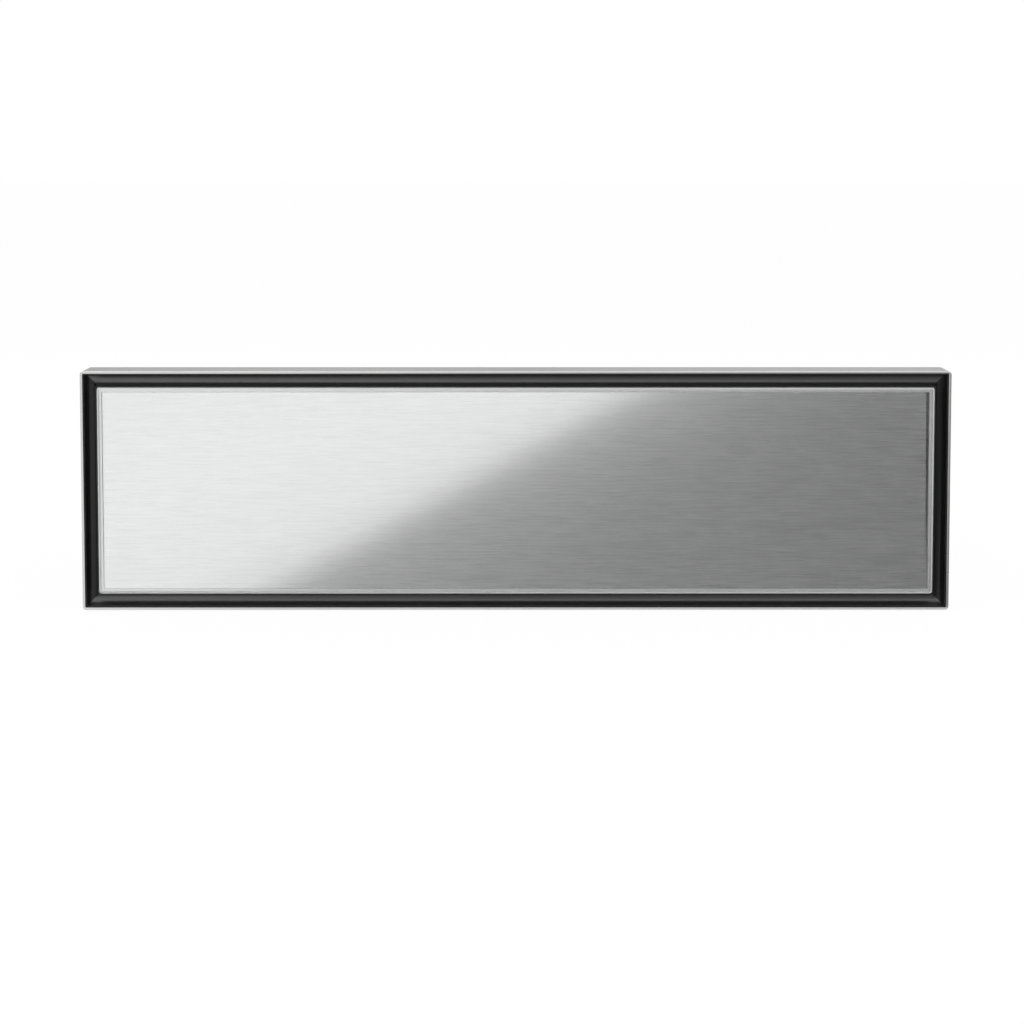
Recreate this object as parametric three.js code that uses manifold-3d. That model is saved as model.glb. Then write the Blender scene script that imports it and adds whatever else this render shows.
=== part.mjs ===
// Built-in warming drawer: a steel-rimmed front slab on a heated drawer, which runs on telescopic
// slides in a sheet-steel housing. It has no handle: a push on the front releases two spring latches.
// Millimetres, +Z up, front towards -Y, origin under the middle of the whole appliance.
import * as THREE from 'three';
import { mergeVertices } from 'three/addons/utils/BufferGeometryUtils.js';
import Module from 'manifold-3d';

const wasm = await Module();
wasm.setup();

// ---------------------------------------------------------------- driving dimensions

const gap = 0.3; // clearance between pieces that touch

// Front slab
const frontWidth = 752;
const frontHeight = 208;
const frontDepth = 47;
const frontLift = 2; // underside of the front above the shelf
const pushGap = 4; // back of the front to the housing when shut
const pushTravel = 3; // push that releases the latches
const rimWall = 2.2;
const rimCorner = 3;
const rimChamfer = 0.5;
const backFlange = 48;
const backFlangeSheet = 1.5;
const panelMargin = 14.2; // outer edge of the rim to the edge of the glass
const glassThickness = 4;
const glassChamfer = 1.5;
const glassCorner = 2;
const glassBand = 4.2; // clear edge of the glass, outside the steel facing
const facingSheet = 1;
const panelTrayFloor = 1.2;
const panelRibHeight = 100;
const panelRibThickness = 3;
const gutterSheet = 0.8;
const gutterWallDepth = 9.5; // straight walls, before the round bottom
const gutterSetback = 1; // front edge behind the face of the glass
const gutterLip = 7.2; // lip that reaches behind the panel tray
const coreSheet = 1.5;
const innerFrontSheet = 1;
const innerFrontInset = 2.8;
const innerFrontBottom = 10;
const innerFrontTop = 139.5;
const bracketLow = 30;
const bracketHigh = 108;
const bracketReach = 30;
const bracketFoot = 24;
const bracketScrewInset = 10; // end of the bracket to its screw
const screwHoleRadius = 2;

// Housing
const housingWidth = 710;
const housingDepth = 484;
const housingTop = 172;
const housingBottom = 4;
const housingSheet = 1.2;
const sideFlange = 14;
const beadDepth = 3;
const beadMiddle = 122;
const beadHeight = 18;
const baseFlange = 10;
const baseBead = 3;
const baseBeadInset = 75; // housing side to the bead
const baseBeadWidth = 30;
const ventWidth = 5;
const sideVents = 6;
const sideVentPitch = 44;
const sideVentLength = 30;
const sideVentInset = 60; // middle of the first vent to the back of the rear panel
const baseVents = 9;
const baseVentPitch = 44;
const baseVentLength = 30;
const baseVentWidth = 6;
const baseVentY = 120;
const louvreSpread = 70; // between columns, and middle of the housing to the first
const louvrePitch = 16; // between rows
const louvreLevel = 50;
const louvreLength = 44;
const collarSheet = 1.5;
const collarReach = 4.5; // collar outside the housing sides
const collarInset = 3; // collar opening inside the housing sides
const collarTop = 200; // the collar stands up behind the front, above the housing
const collarSill = 9;
const collarHead = 147;
const ceilingHeight = 147.5;
const ceilingInset = 8.4;
const ceilingLip = 6;
const plateauMargin = 45;
const plateauSlope = 3;
const plateauCorner = 15;
const plateauStep = 1;
const topFlangeDrop = 20;
const rearFlange = 13;
const footRadius = 14;
const footHeight = 5.2;
const footInset = 40;
const lugStand = 5; // face of the side fixing lugs outside the housing sides
const lugHeight = 40;
const lugMiddle = 84;
const lugStart = 20;
const lugLength = 70;
const lugBend = 25; // front of the lug to its joggle
const lugSlotInset = 16; // end of the lug to the middle of its slot
const lugSlotRise = 10;
const lugSlotLength = 12;
const lugSlotWidth = 5;

// Drawer box
const drawerSheet = 1.2;
const drawerBottom = 12.4;
const drawerTop = 122.6;
const rearSpace = 44; // back of the drawer to the back of the housing
const bottomFlange = 20.8;
const topFlange = 12.8;
const backFlangeReach = 13; // flanges of the drawer back
const backVentSpread = 90; // middle of the drawer to each column of vents
const backVentPitch = 16;
const backVentLevel = 60;
const backVentLength = 90;
const underPanSheet = 1;
const underPanEdge = 10;
const baseInsulationThickness = 6;
const reflectorSheet = 0.8;
const reflectorEdge = 5.5;

// Cavity tray and glass base
const ledgeDepth = 38;
const ledgeFlange = 7;
const ledgeUpstand = 10.6;
const traySheet = 1;
const trayRim = 23; // rim width, from its outer edge to the wall
const trayCorner = 20;
const trayDraft = 2.4;
const trayFloor = 31; // top of the floor
const trayFillet = 3;
const trayWindow = 45; // edge of the window in the floor, from the rim's outer edge
const baseGlassMargin = 31.5;
const baseGlassThickness = 4;
const baseGlassChamfer = 0.6;
const sealThickness = 1.7;

// Heating element
const elementRadius = 3.25;
const elementRuns = 8;
const elementPitch = 46;
const elementLength = 520;
const thermostatRadius = 9;

// Telescopic slides
const slideSheet = 1.2;
const cageSheet = 0.6;
const ballRadius = 2.5;
const ballPlay = 0.4;
const ballsPerRow = 5;
const slideStack = 12.4; // from the housing side to the drawer side
const slideLevel = 68;
const innerSlideHalf = 8.5;
const slideStart = 8;
const slideEndSpace = 26; // end of the slide to the back of the housing
const middleSetback = 2;
const innerShortening = 12;
const cageLength = 200;
const outerCageMargin = 17.5;
const innerCageMargin = 5.5;
const travelLoss = 20; // length of slide that never opens
const slideSlotLength = 14;
const slideSlotWidth = 6;

// Controls on the ledge behind the front
const knobInset = 70.8; // side of the drawer to the knob
const buttonSpacing = 50; // knob to button
const pilotSpacing = 30; // button to pilot light
const controlY = 18;
const knobRadius = 16;
const knobHeight = 13.5; // without the pointer
const knobSkirt = 2.4; // height of the skirt
const knobSkirtBevel = 1.2;
const knobLobes = 12;
const knobLobeDepth = 0.6;
const knobGripInset = 3.2; // skirt to the middle of the lobes
const knobEdge = 0.7; // bevel round the grip
const pointerWidth = 2;
const pointerRise = 0.5;
const shaftRadius = 3;
const shaftLength = 11.3; // below the top of the switch
const switchSize = 22;
const switchHeight = 18.6;
const buttonRadius = 7;
const buttonTravel = 1.5;
const buttonRecess = 2.1;
const stemRadius = 2.5;
const stemLength = 9.6;
const switchBore = 13;
const boardSheet = 1.6;
const boardMargin = 25;
const boardFront = 12;
const boardBack = 18;

// Push latches, supply
const latchX = 180;
const latchLevel = 26;
const latchWidth = 28;
const latchLength = 31.7;
const plungerRadius = 5;
const plungerHead = 8;
const plungerLength = 32.4;
const latchFoot = 44;
const inletX = 70;
const inletZ = 110;
const inletWidth = 27;
const inletHeight = 20;
const inletBody = 18.8; // in front of the rear panel
const inletFlangeWidth = 48;
const inletFlangeHeight = 24;
const inletRecess = 14;
const inletScrewX = 19;
const pinLength = 10;
const leadRadius = 2.2;
const terminalWidth = 65;
const terminalDepth = 24;
const terminalHeight = 43;
const terminalLid = 10;
const terminalX = 72.5;
const leadX = 50;
const leadTurn = 10; // tight turn near the middle of the base
const leadWideTurn = 30; // turn behind the drawer
const leadTurnShare = 0.496; // the tight turn, as a share of the housing depth
const clampLength = 7;
const clampWidth = 18;

// ---------------------------------------------------------------- places worked out from them

const frontBack = -pushGap;
const frontFace = frontBack - frontDepth;
const frontMiddle = frontLift + frontHeight / 2;
const drawerDepth = housingDepth - rearSpace;
const slideLength = housingDepth - slideStart - slideEndSpace;
const travel = slideLength - travelLoss;
const sideOuter = housingWidth / 2;
const sideInner = sideOuter - housingSheet;
const slideFace = sideInner - gap;
const drawerHalf = slideFace - slideStack - gap;
const drawerInner = drawerHalf - drawerSheet;
const knobX = drawerHalf - knobInset;
const buttonX = knobX - buttonSpacing;
const pilotX = buttonX - pilotSpacing;
const rimTop = drawerTop + gap + traySheet;
const rimHalf = drawerHalf - 1.8;
const rimStart = ledgeDepth + 1;
const rimEnd = drawerDepth - drawerSheet - 0.5;
const rimMiddle = (rimStart + rimEnd) / 2;
const rimHalfDepth = (rimEnd - rimStart) / 2;
const underPanTop = drawerBottom + drawerSheet + gap + underPanSheet;
const reflectorTop = underPanTop + gap + baseInsulationThickness + gap + reflectorSheet;
const elementLevel = reflectorTop + 0.35 + elementRadius;
const baseGlassBottom = trayFloor + gap + sealThickness + gap;
const baseLevel = housingBottom + housingSheet + gap; // underside of the base panel
const baseTop = baseLevel + housingSheet;
const rearFace = housingDepth - housingSheet - gap; // back of the rear panel

// ---------------------------------------------------------------- finishes

function finish(color, roughness, metalness, opacity = 1) {
  return new THREE.MeshStandardMaterial({ color, roughness, metalness, opacity, transparent: opacity < 1 });
}

const brushedSteel = finish(0xc4c5c6, 0.3, 1);
const rimSteel = finish(0xcfd0d1, 0.35, 1);
const satinBlack = finish(0x17181a, 0.42, 0.3);
const clearGlass = finish(0xf1f6f5, 0.03, 0, 0.3);
const tintedGlass = finish(0x101214, 0.06, 0, 0.9);
const aluminium = finish(0xb4b7ba, 0.4, 1);
const galvanised = finish(0xa3a7aa, 0.5, 0.9);
const stainless = finish(0xbfc1c3, 0.34, 1);
const zincPlate = finish(0xaeb2b6, 0.38, 1);
const blackPlastic = finish(0x1e1f21, 0.5, 0);
const greyPlastic = finish(0x8c8f92, 0.55, 0);
const whitePlastic = finish(0xe6e5e0, 0.5, 0);
const greenBoard = finish(0x1f5a3a, 0.6, 0);
const greyRubber = finish(0x3a3b3d, 0.85, 0);
const mineralWool = finish(0xd9cfae, 0.95, 0);
const blackRubber = finish(0x151515, 0.9, 0);
const heaterSteel = finish(0x4c4a49, 0.55, 0.8);
const amberLens = finish(0xd98a2b, 0.2, 0, 0.8);

// ---------------------------------------------------------------- ways of making a solid

function solidOf(geometry) {
  const bare = geometry.clone();
  bare.deleteAttribute('normal');
  bare.deleteAttribute('uv');
  const welded = mergeVertices(bare);
  return new wasm.Manifold(new wasm.Mesh({
    numProp: 3,
    vertProperties: new Float32Array(welded.attributes.position.array),
    triVerts: new Uint32Array(welded.index.array),
  }));
}

function geometryOf(solid) {
  const mesh = solid.getMesh();
  const geometry = new THREE.BufferGeometry();
  geometry.setAttribute('position', new THREE.BufferAttribute(new Float32Array(mesh.vertProperties), 3));
  geometry.setIndex(new THREE.BufferAttribute(new Uint32Array(mesh.triVerts), 1));
  geometry.computeVertexNormals();
  return geometry;
}

function join(first, ...others) {
  return geometryOf(others.reduce((solid, other) => solid.add(solidOf(other)), solidOf(first)));
}

function cut(first, ...tools) {
  return geometryOf(tools.reduce((solid, tool) => solid.subtract(solidOf(tool)), solidOf(first)));
}

function extrude(shape, length, curveSegments = 8) {
  return new THREE.ExtrudeGeometry(shape, { depth: length, bevelEnabled: false, curveSegments });
}

// A section drawn in (y, z), run from one x to another.
function alongX(shape, from, to) {
  const [x, y, z] = [new THREE.Vector3(1, 0, 0), new THREE.Vector3(0, 1, 0), new THREE.Vector3(0, 0, 1)];
  const turn = new THREE.Matrix4().makeBasis(y, z, x);
  return extrude(shape, to - from).applyMatrix4(turn).translate(from, 0, 0);
}

// A section drawn in (x, z), run from one y to another.
function alongY(shape, from, to) {
  return extrude(shape, to - from).rotateX(Math.PI / 2).translate(0, to, 0);
}

// A section drawn in (x, y), run from one z to another.
function alongZ(shape, from, to) {
  return extrude(shape, to - from).translate(0, 0, from);
}

function block([x0, x1], [y0, y1], [z0, z1]) {
  return new THREE.BoxGeometry(x1 - x0, y1 - y0, z1 - z0)
    .translate((x0 + x1) / 2, (y0 + y1) / 2, (z0 + z1) / 2);
}

// The section of a bent sheet: its centre-line, thickened to both sides with mitred bends.
function sheetShape(line, thickness) {
  const points = line.map(([a, b]) => new THREE.Vector2(a, b));
  const ways = points.slice(1).map((point, i) => point.clone().sub(points[i]).normalize());
  const offsets = points.map((point, i) => {
    const before = ways[Math.max(i - 1, 0)];
    const after = ways[Math.min(i, ways.length - 1)];
    const mitre = new THREE.Vector2(-before.y - after.y, before.x + after.x).normalize();
    return mitre.multiplyScalar(thickness / 2 / mitre.dot(new THREE.Vector2(-before.y, before.x)));
  });
  const left = points.map((point, i) => point.clone().add(offsets[i]));
  const right = points.map((point, i) => point.clone().sub(offsets[i]));
  return new THREE.Shape([...left, ...right.reverse()]);
}

// Corner points of a rounded rectangle about the origin. With no steps its corners are sharp.
function loop(halfA, halfB, radius, steps) {
  const points = [];
  for (let corner = 0; corner < 4; corner += 1) {
    const a = (corner === 0 || corner === 3 ? 1 : -1) * (halfA - radius);
    const b = (corner < 2 ? 1 : -1) * (halfB - radius);
    for (let step = 0; step <= steps; step += 1) {
      const angle = (corner + (steps ? step / steps : 0.5)) * Math.PI / 2;
      points.push([a + radius * Math.cos(angle), b + radius * Math.sin(angle)]);
    }
  }
  return points;
}

function plateShape([a0, a1], [b0, b1], radius) {
  const points = loop((a1 - a0) / 2, (b1 - b0) / 2, radius, 3)
    .map(([a, b]) => new THREE.Vector2(a + (a0 + a1) / 2, b + (b0 + b1) / 2));
  return new THREE.Shape(points);
}

function slotShape(a, b, length, width) {
  return plateShape([a - length / 2, a + length / 2], [b - width / 2, b + width / 2], width / 2);
}

function discShape(a, b, radius, sides = 20) {
  const points = Array.from({ length: sides }, (_, i) => {
    const angle = (i / sides) * Math.PI * 2;
    return new THREE.Vector2(a + radius * Math.cos(angle), b + radius * Math.sin(angle));
  });
  return new THREE.Shape(points);
}

function signedVolume(positions, index) {
  const [a, b, c] = [new THREE.Vector3(), new THREE.Vector3(), new THREE.Vector3()];
  let sum = 0;
  for (let i = 0; i < index.length; i += 3) {
    a.fromArray(positions, index[i] * 3);
    b.fromArray(positions, index[i + 1] * 3);
    c.fromArray(positions, index[i + 2] * 3);
    sum += a.dot(b.cross(c));
  }
  return sum / 6;
}

// A closed body over loops of points: capped at its two ends, or joined last loop to first.
function skin(loops, capped) {
  const count = loops[0].length;
  const positions = loops.flat().flatMap((point) => point.toArray());
  const index = [];
  for (let i = 0; i < loops.length - (capped ? 1 : 0); i += 1) {
    const here = i * count;
    const next = ((i + 1) % loops.length) * count;
    for (let j = 0; j < count; j += 1) {
      const k = (j + 1) % count;
      index.push(here + j, here + k, next + k, here + j, next + k, next + j);
    }
  }
  const end = (loops.length - 1) * count;
  for (let j = 1; capped && j < count - 1; j += 1) {
    index.push(0, j + 1, j, end, end + j, end + j + 1);
  }
  if (signedVolume(positions, index) < 0) index.reverse();
  const geometry = new THREE.BufferGeometry();
  geometry.setAttribute('position', new THREE.Float32BufferAttribute(positions, 3));
  geometry.setIndex(index);
  geometry.computeVertexNormals();
  return geometry;
}

// A turned piece: its profile in (radius, height), from axis to axis, stood on the z axis.
function turned(profile, sides = 24) {
  const points = profile.map(([radius, height]) => new THREE.Vector2(radius, height));
  return new THREE.LatheGeometry(points, sides).rotateX(Math.PI / 2);
}

// A round rod along points of one level, with a mitred ring at each.
function rodAlong(points, radius, sides) {
  const up = new THREE.Vector3(0, 0, 1);
  const rings = points.map((point, i) => {
    const before = point.clone().sub(points[Math.max(i - 1, 0)]).normalize();
    const after = points[Math.min(i + 1, points.length - 1)].clone().sub(point).normalize();
    const tangent = before.clone().add(after).normalize();
    const side = new THREE.Vector3().crossVectors(up, tangent);
    const stretch = 1 / Math.max(tangent.dot(i ? before : after), 0.5);
    return Array.from({ length: sides }, (_, j) => {
      const angle = (j / sides) * Math.PI * 2;
      return point.clone()
        .addScaledVector(side, radius * stretch * Math.cos(angle))
        .addScaledVector(up, radius * Math.sin(angle));
    });
  });
  return skin(rings, true);
}

// Points round part of a circle at one level, angles in quarter turns.
function arcPoints(x, y, z, radius, fromQuarter, toQuarter, steps) {
  return Array.from({ length: steps + 1 }, (_, i) => {
    const angle = (fromQuarter + (toQuarter - fromQuarter) * i / steps) * Math.PI / 2;
    return new THREE.Vector3(x + radius * Math.cos(angle), y + radius * Math.sin(angle), z);
  });
}

function piece(parent, name, geometry, material) {
  const mesh = new THREE.Mesh(geometry, material);
  mesh.name = name;
  parent.add(mesh);
}

// A right-hand piece and its mirror image on the left.
function pair(parent, name, geometry, material) {
  piece(parent, `${name}_right`, geometry, material);
  const mirror = new THREE.Group();
  mirror.scale.x = -1;
  piece(mirror, `${name}_left`, geometry.clone(), material);
  parent.add(mirror);
}

// ---------------------------------------------------------------- front slab

// One loop round the slab, at an inset from its outer edge and a depth behind its face.
function frontLoop(inset, depth, radius = 0, steps = 0) {
  return loop(frontWidth / 2 - inset, frontHeight / 2 - inset, radius, steps)
    .map(([x, z]) => new THREE.Vector3(x, frontFace + depth, frontMiddle + z));
}

function outerFrame() {
  const innerCorner = rimCorner - rimWall;
  return skin([
    frontLoop(rimChamfer, 0, rimCorner - rimChamfer, 3),
    frontLoop(0, rimChamfer, rimCorner, 3),
    frontLoop(0, frontDepth, rimCorner, 3),
    frontLoop(backFlange, frontDepth, innerCorner, 3),
    frontLoop(backFlange, frontDepth - backFlangeSheet, innerCorner, 3),
    frontLoop(rimWall, frontDepth - backFlangeSheet, innerCorner, 3),
    frontLoop(rimWall, 0, innerCorner, 3),
  ], false);
}

const facingDepth = glassThickness + gap;
const pocketDepth = facingDepth + facingSheet + gap;
const panelTrayBack = pocketDepth + panelTrayFloor;
const gutterOuter = rimWall + gap;
const gutterInner = panelMargin - gap;
const gutterRadius = (gutterInner - gutterOuter) / 2;
const gutterBottom = gutterWallDepth + gutterRadius;
const coreDepth = gutterBottom + gap;

// A rolled channel with a round bottom, mitred at the four corners, and a lip behind the panel.
function gutterFrame() {
  const arcSteps = 8;
  const middle = (gutterOuter + gutterInner) / 2;
  const arc = (radius) => Array.from({ length: arcSteps + 1 }, (_, i) => {
    const angle = Math.PI * (1 - i / arcSteps);
    return [middle + radius * Math.cos(angle), gutterWallDepth + radius * Math.sin(angle)];
  });
  const section = [
    [gutterOuter, gutterSetback],
    ...arc(gutterRadius),
    [gutterInner + gutterLip, gutterWallDepth],
    [gutterInner + gutterLip, panelTrayBack + gap],
    [gutterInner, panelTrayBack + gap],
    [gutterInner, gutterSetback],
    [gutterInner - gutterSheet, gutterSetback],
    ...arc(gutterRadius - gutterSheet).reverse(),
    [gutterOuter + gutterSheet, gutterSetback],
  ];
  return skin(section.map(([inset, depth]) => frontLoop(inset, depth)), false);
}

function glassFront() {
  return skin([
    frontLoop(panelMargin + glassChamfer, 0, glassCorner, 3),
    frontLoop(panelMargin, glassChamfer, glassCorner + glassChamfer, 3),
    frontLoop(panelMargin, glassThickness, glassCorner + glassChamfer, 3),
  ], true);
}

function steelFacing() {
  const inset = panelMargin + glassBand;
  return skin([frontLoop(inset, facingDepth), frontLoop(inset, facingDepth + facingSheet)], true);
}

// The tray that carries the glass and its steel facing, with two ribs that bear on the core plate.
function panelTray() {
  const pocket = panelMargin + glassBand - gap;
  const tray = skin([
    frontLoop(pocket, pocketDepth),
    frontLoop(pocket, facingDepth),
    frontLoop(panelMargin, facingDepth),
    frontLoop(panelMargin, panelTrayBack),
  ], true);
  const ribs = [-1, 1].map((side) => {
    const level = frontMiddle + side * panelRibHeight / 2;
    return block(
      [-frontWidth / 2 + backFlange, frontWidth / 2 - backFlange],
      [frontFace + panelTrayBack - panelTrayFloor / 2, frontFace + gutterBottom],
      [level - panelRibThickness / 2, level + panelRibThickness / 2],
    );
  });
  return join(tray, ...ribs);
}

function frontCore() {
  return skin([frontLoop(gutterOuter, coreDepth), frontLoop(gutterOuter, coreDepth + coreSheet)], true);
}

function frontInsulation() {
  const back = frontDepth - backFlangeSheet - gap;
  return skin([frontLoop(gutterOuter, coreDepth + coreSheet + gap), frontLoop(gutterOuter, back)], true);
}

const innerFrontBack = frontBack + gap + innerFrontSheet;

function innerFront() {
  const half = drawerHalf - innerFrontInset;
  const plate = alongY(plateShape([-half, half], [innerFrontBottom, innerFrontTop], 6),
    innerFrontBack - innerFrontSheet, innerFrontBack);
  const levels = [bracketLow + bracketScrewInset, bracketHigh - bracketScrewInset];
  const holes = [-1, 1].flatMap((side) => levels.map((level) => {
    const shape = discShape(side * (half - bracketFoot / 2), level, screwHoleRadius, 12);
    return alongY(shape, innerFrontBack - 3, innerFrontBack + 1);
  }));
  return cut(plate, ...holes);
}

function frontBracket() {
  const x = drawerInner - gap - drawerSheet / 2;
  const y = innerFrontBack + gap + drawerSheet / 2;
  return alongZ(sheetShape([[x, bracketReach], [x, y], [x - bracketFoot, y]], drawerSheet),
    bracketLow, bracketHigh);
}

// ---------------------------------------------------------------- drawer box

function drawerSide() {
  const half = drawerSheet / 2;
  const x = drawerHalf - half;
  const section = sheetShape([
    [drawerHalf - bottomFlange, drawerBottom + half],
    [x, drawerBottom + half],
    [x, drawerTop - half],
    [drawerHalf - topFlange, drawerTop - half],
  ], drawerSheet);
  return alongY(section, 0, drawerDepth - drawerSheet - gap);
}

// The back closes the box behind the sides, with flanges forward between theirs.
function drawerBack() {
  const half = drawerSheet / 2;
  const y = drawerDepth - half;
  const section = sheetShape([
    [y - backFlangeReach, drawerBottom + half],
    [y, drawerBottom + half],
    [y, drawerTop - half],
    [y - backFlangeReach, drawerTop - half],
  ], drawerSheet);
  const middle = drawerHalf - bottomFlange - 2;
  const plate = block([-drawerInner, drawerInner], [drawerDepth - drawerSheet, drawerDepth],
    [drawerBottom + drawerSheet, drawerTop - drawerSheet]);
  const vents = [-1, 1].flatMap((side) => [0, 1, 2].map((row) => {
    const level = backVentLevel + row * backVentPitch;
    const shape = slotShape(side * backVentSpread, level, backVentLength, ventWidth);
    return alongY(shape, drawerDepth - 4, drawerDepth + 4);
  }));
  return cut(join(alongX(section, -middle, middle), plate), ...vents);
}

function underPan() {
  const x = drawerInner - 2.6;
  const z = underPanTop - underPanSheet / 2;
  const section = sheetShape([
    [-x, z + underPanEdge], [-x, z], [x, z], [x, z + underPanEdge],
  ], underPanSheet);
  return alongY(section, 2, drawerDepth - 4);
}

function baseInsulation() {
  const x = drawerInner - 4.6;
  return block([-x, x], [8, drawerDepth - 10],
    [underPanTop + gap, underPanTop + gap + baseInsulationThickness]);
}

// A bright tray under the element, its four edges turned up.
function heatReflector() {
  const halfX = rimHalf - trayRim - 1;
  const halfY = rimHalfDepth - trayRim;
  const at = (inset, z) => loop(halfX - inset, halfY - inset, 4, 2)
    .map(([x, y]) => new THREE.Vector3(x, rimMiddle + y, z));
  const bottom = reflectorTop - reflectorSheet;
  return skin([
    at(reflectorSheet, reflectorTop),
    at(reflectorSheet, reflectorTop + reflectorEdge),
    at(0, reflectorTop + reflectorEdge),
    at(0, bottom),
  ], true);
}

// A metal-sheathed element bent to and fro under the glass.
function heatingElement() {
  const turn = elementPitch / 2;
  const straight = elementLength / 2 - turn;
  const first = rimMiddle - elementPitch * (elementRuns - 1) / 2;
  const path = [new THREE.Vector3(-elementLength / 2, first, elementLevel)];
  for (let run = 0; run < elementRuns - 1; run += 1) {
    const side = run % 2 ? -1 : 1;
    const y = first + (run + 0.5) * elementPitch;
    path.push(...arcPoints(side * straight, y, elementLevel, turn, -1, side > 0 ? 1 : -3, 8));
  }
  path.push(new THREE.Vector3(-elementLength / 2, first + elementPitch * (elementRuns - 1), elementLevel));
  return rodAlong(path, elementRadius, 8);
}

function glassThermostat() {
  const top = baseGlassBottom - gap;
  const bottom = reflectorTop + gap;
  return turned([
    [0, bottom], [thermostatRadius, bottom], [thermostatRadius, top - 4],
    [thermostatRadius - 3, top - 3], [thermostatRadius - 3, top], [0, top],
  ], 20).translate(0, rimMiddle, 0);
}

// One loop round the cavity, at a margin inside the rim's outer edge.
function cavityLoop(margin, z, steps = 4) {
  const radius = margin < trayRim - 2 ? 3 : Math.max(trayCorner - (margin - trayRim), 2);
  return loop(rimHalf - margin, rimHalfDepth - margin, radius, steps)
    .map(([x, y]) => new THREE.Vector3(x, rimMiddle + y, z));
}

// A drawn stainless tray: flat rim, walls with a little draft, and a floor with a window for the glass.
function cavityTray() {
  const foot = trayRim + trayDraft;
  const floorEdge = foot + trayFillet;
  const small = 0.3 * trayFillet;
  return skin([
    cavityLoop(0, rimTop - traySheet),
    cavityLoop(0, rimTop),
    cavityLoop(trayRim - 1, rimTop),
    cavityLoop(trayRim, rimTop - 1),
    cavityLoop(foot, trayFloor + trayFillet),
    cavityLoop(foot + small, trayFloor + small),
    cavityLoop(floorEdge, trayFloor),
    cavityLoop(trayWindow, trayFloor),
    cavityLoop(trayWindow, trayFloor - traySheet),
    cavityLoop(floorEdge, trayFloor - traySheet),
    cavityLoop(foot - traySheet + small, trayFloor - traySheet + small),
    cavityLoop(foot - traySheet, trayFloor + trayFillet),
    cavityLoop(trayRim - traySheet, rimTop - traySheet - 1),
    cavityLoop(trayRim - traySheet - 1, rimTop - traySheet),
  ], false);
}

// A moulded silicone seal, under the edge of the glass and up round it.
function baseSeal() {
  const bottom = trayFloor + gap;
  const bearing = bottom + sealThickness;
  const top = baseGlassBottom + baseGlassThickness - 0.5;
  const wall = trayRim + trayDraft;
  const section = [
    [wall + trayFillet + gap, bottom],
    [wall + trayFillet, bottom + 2.5],
    [wall + 0.5, bottom + 4.2],
    [wall + 0.4, top],
    [baseGlassMargin - gap, top],
    [baseGlassMargin - gap, bearing],
    [trayWindow - 1, bearing],
    [trayWindow - 1, bottom],
  ];
  return skin(section.map(([margin, z]) => cavityLoop(margin, z)), false);
}

function glassBase() {
  const top = baseGlassBottom + baseGlassThickness;
  return skin([
    cavityLoop(baseGlassMargin + baseGlassChamfer, baseGlassBottom),
    cavityLoop(baseGlassMargin, baseGlassBottom + baseGlassChamfer),
    cavityLoop(baseGlassMargin, top - baseGlassChamfer),
    cavityLoop(baseGlassMargin + baseGlassChamfer, top),
  ], true);
}

// ---------------------------------------------------------------- controls

const ledgeTop = rimTop;
const ledgeUnder = ledgeTop - traySheet;
const switchTop = ledgeUnder - gap;
const buttonHoleRadius = buttonRadius + 0.4;
const shaftHoleRadius = shaftRadius + gap;
const pilotRadius = 2.5;

// The bent ledge behind the front, which carries the switches.
function controlLedge() {
  const half = traySheet / 2;
  const y = innerFrontBack + gap + half;
  const section = sheetShape([
    [y, ledgeTop + ledgeUpstand], [y, ledgeTop - half],
    [ledgeDepth, ledgeTop - half], [ledgeDepth, ledgeTop - ledgeFlange],
  ], traySheet);
  const width = drawerHalf - innerFrontInset;
  const corners = [-1, 1].map((side) => {
    const inside = side * (drawerHalf - topFlange - 1);
    return block([Math.min(inside, side * (width + 1)), Math.max(inside, side * (width + 1))],
      [ledgeDepth - 5, ledgeDepth + 5], [ledgeTop - ledgeFlange - 1, ledgeUnder]);
  });
  const hole = (x, radius) => alongZ(discShape(x, controlY, radius), ledgeTop - 5, ledgeTop + 5);
  return cut(alongX(section, -width, width), ...corners,
    hole(knobX, shaftHoleRadius), hole(buttonX, buttonHoleRadius), hole(pilotX, pilotRadius + gap));
}

function switchBody(x) {
  const half = switchSize / 2;
  return block([x - half, x + half], [controlY - half, controlY + half],
    [switchTop - switchHeight, switchTop]);
}

// A round hole down into a switch from its top.
function switchHole(x, radius, depth) {
  return alongZ(discShape(x, controlY, radius), switchTop - depth, switchTop + 1);
}

function selectorSwitch() {
  return cut(switchBody(knobX), switchHole(knobX, shaftHoleRadius, switchBore));
}

function powerSwitch() {
  return cut(switchBody(buttonX), switchHole(buttonX, buttonHoleRadius, buttonRecess),
    switchHole(buttonX, stemRadius + gap, switchBore));
}

function controlBoard() {
  const top = switchTop - switchHeight - gap;
  const ends = [pilotX - boardMargin, knobX + boardMargin];
  const shape = plateShape(ends, [controlY - boardFront, controlY + boardBack], 2);
  const holes = [ends[0] + 4, ends[1] - 4].map((x) => (
    alongZ(discShape(x, controlY + boardBack - 4, 1.6, 12), top - 5, top + 1)
  ));
  return cut(alongZ(shape, top - boardSheet, top), ...holes);
}

function pilotLens() {
  return turned([
    [0, switchTop - 6], [pilotRadius, switchTop - 6], [pilotRadius, switchTop - 2],
    [pilotRadius + 1.5, switchTop - 2], [pilotRadius + 1.5, switchTop], [pilotRadius, switchTop],
    [pilotRadius, ledgeTop + 0.6], [pilotRadius * 0.7, ledgeTop + 1.4], [0, ledgeTop + 1.7],
  ], 16).translate(pilotX, controlY, 0);
}

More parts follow.
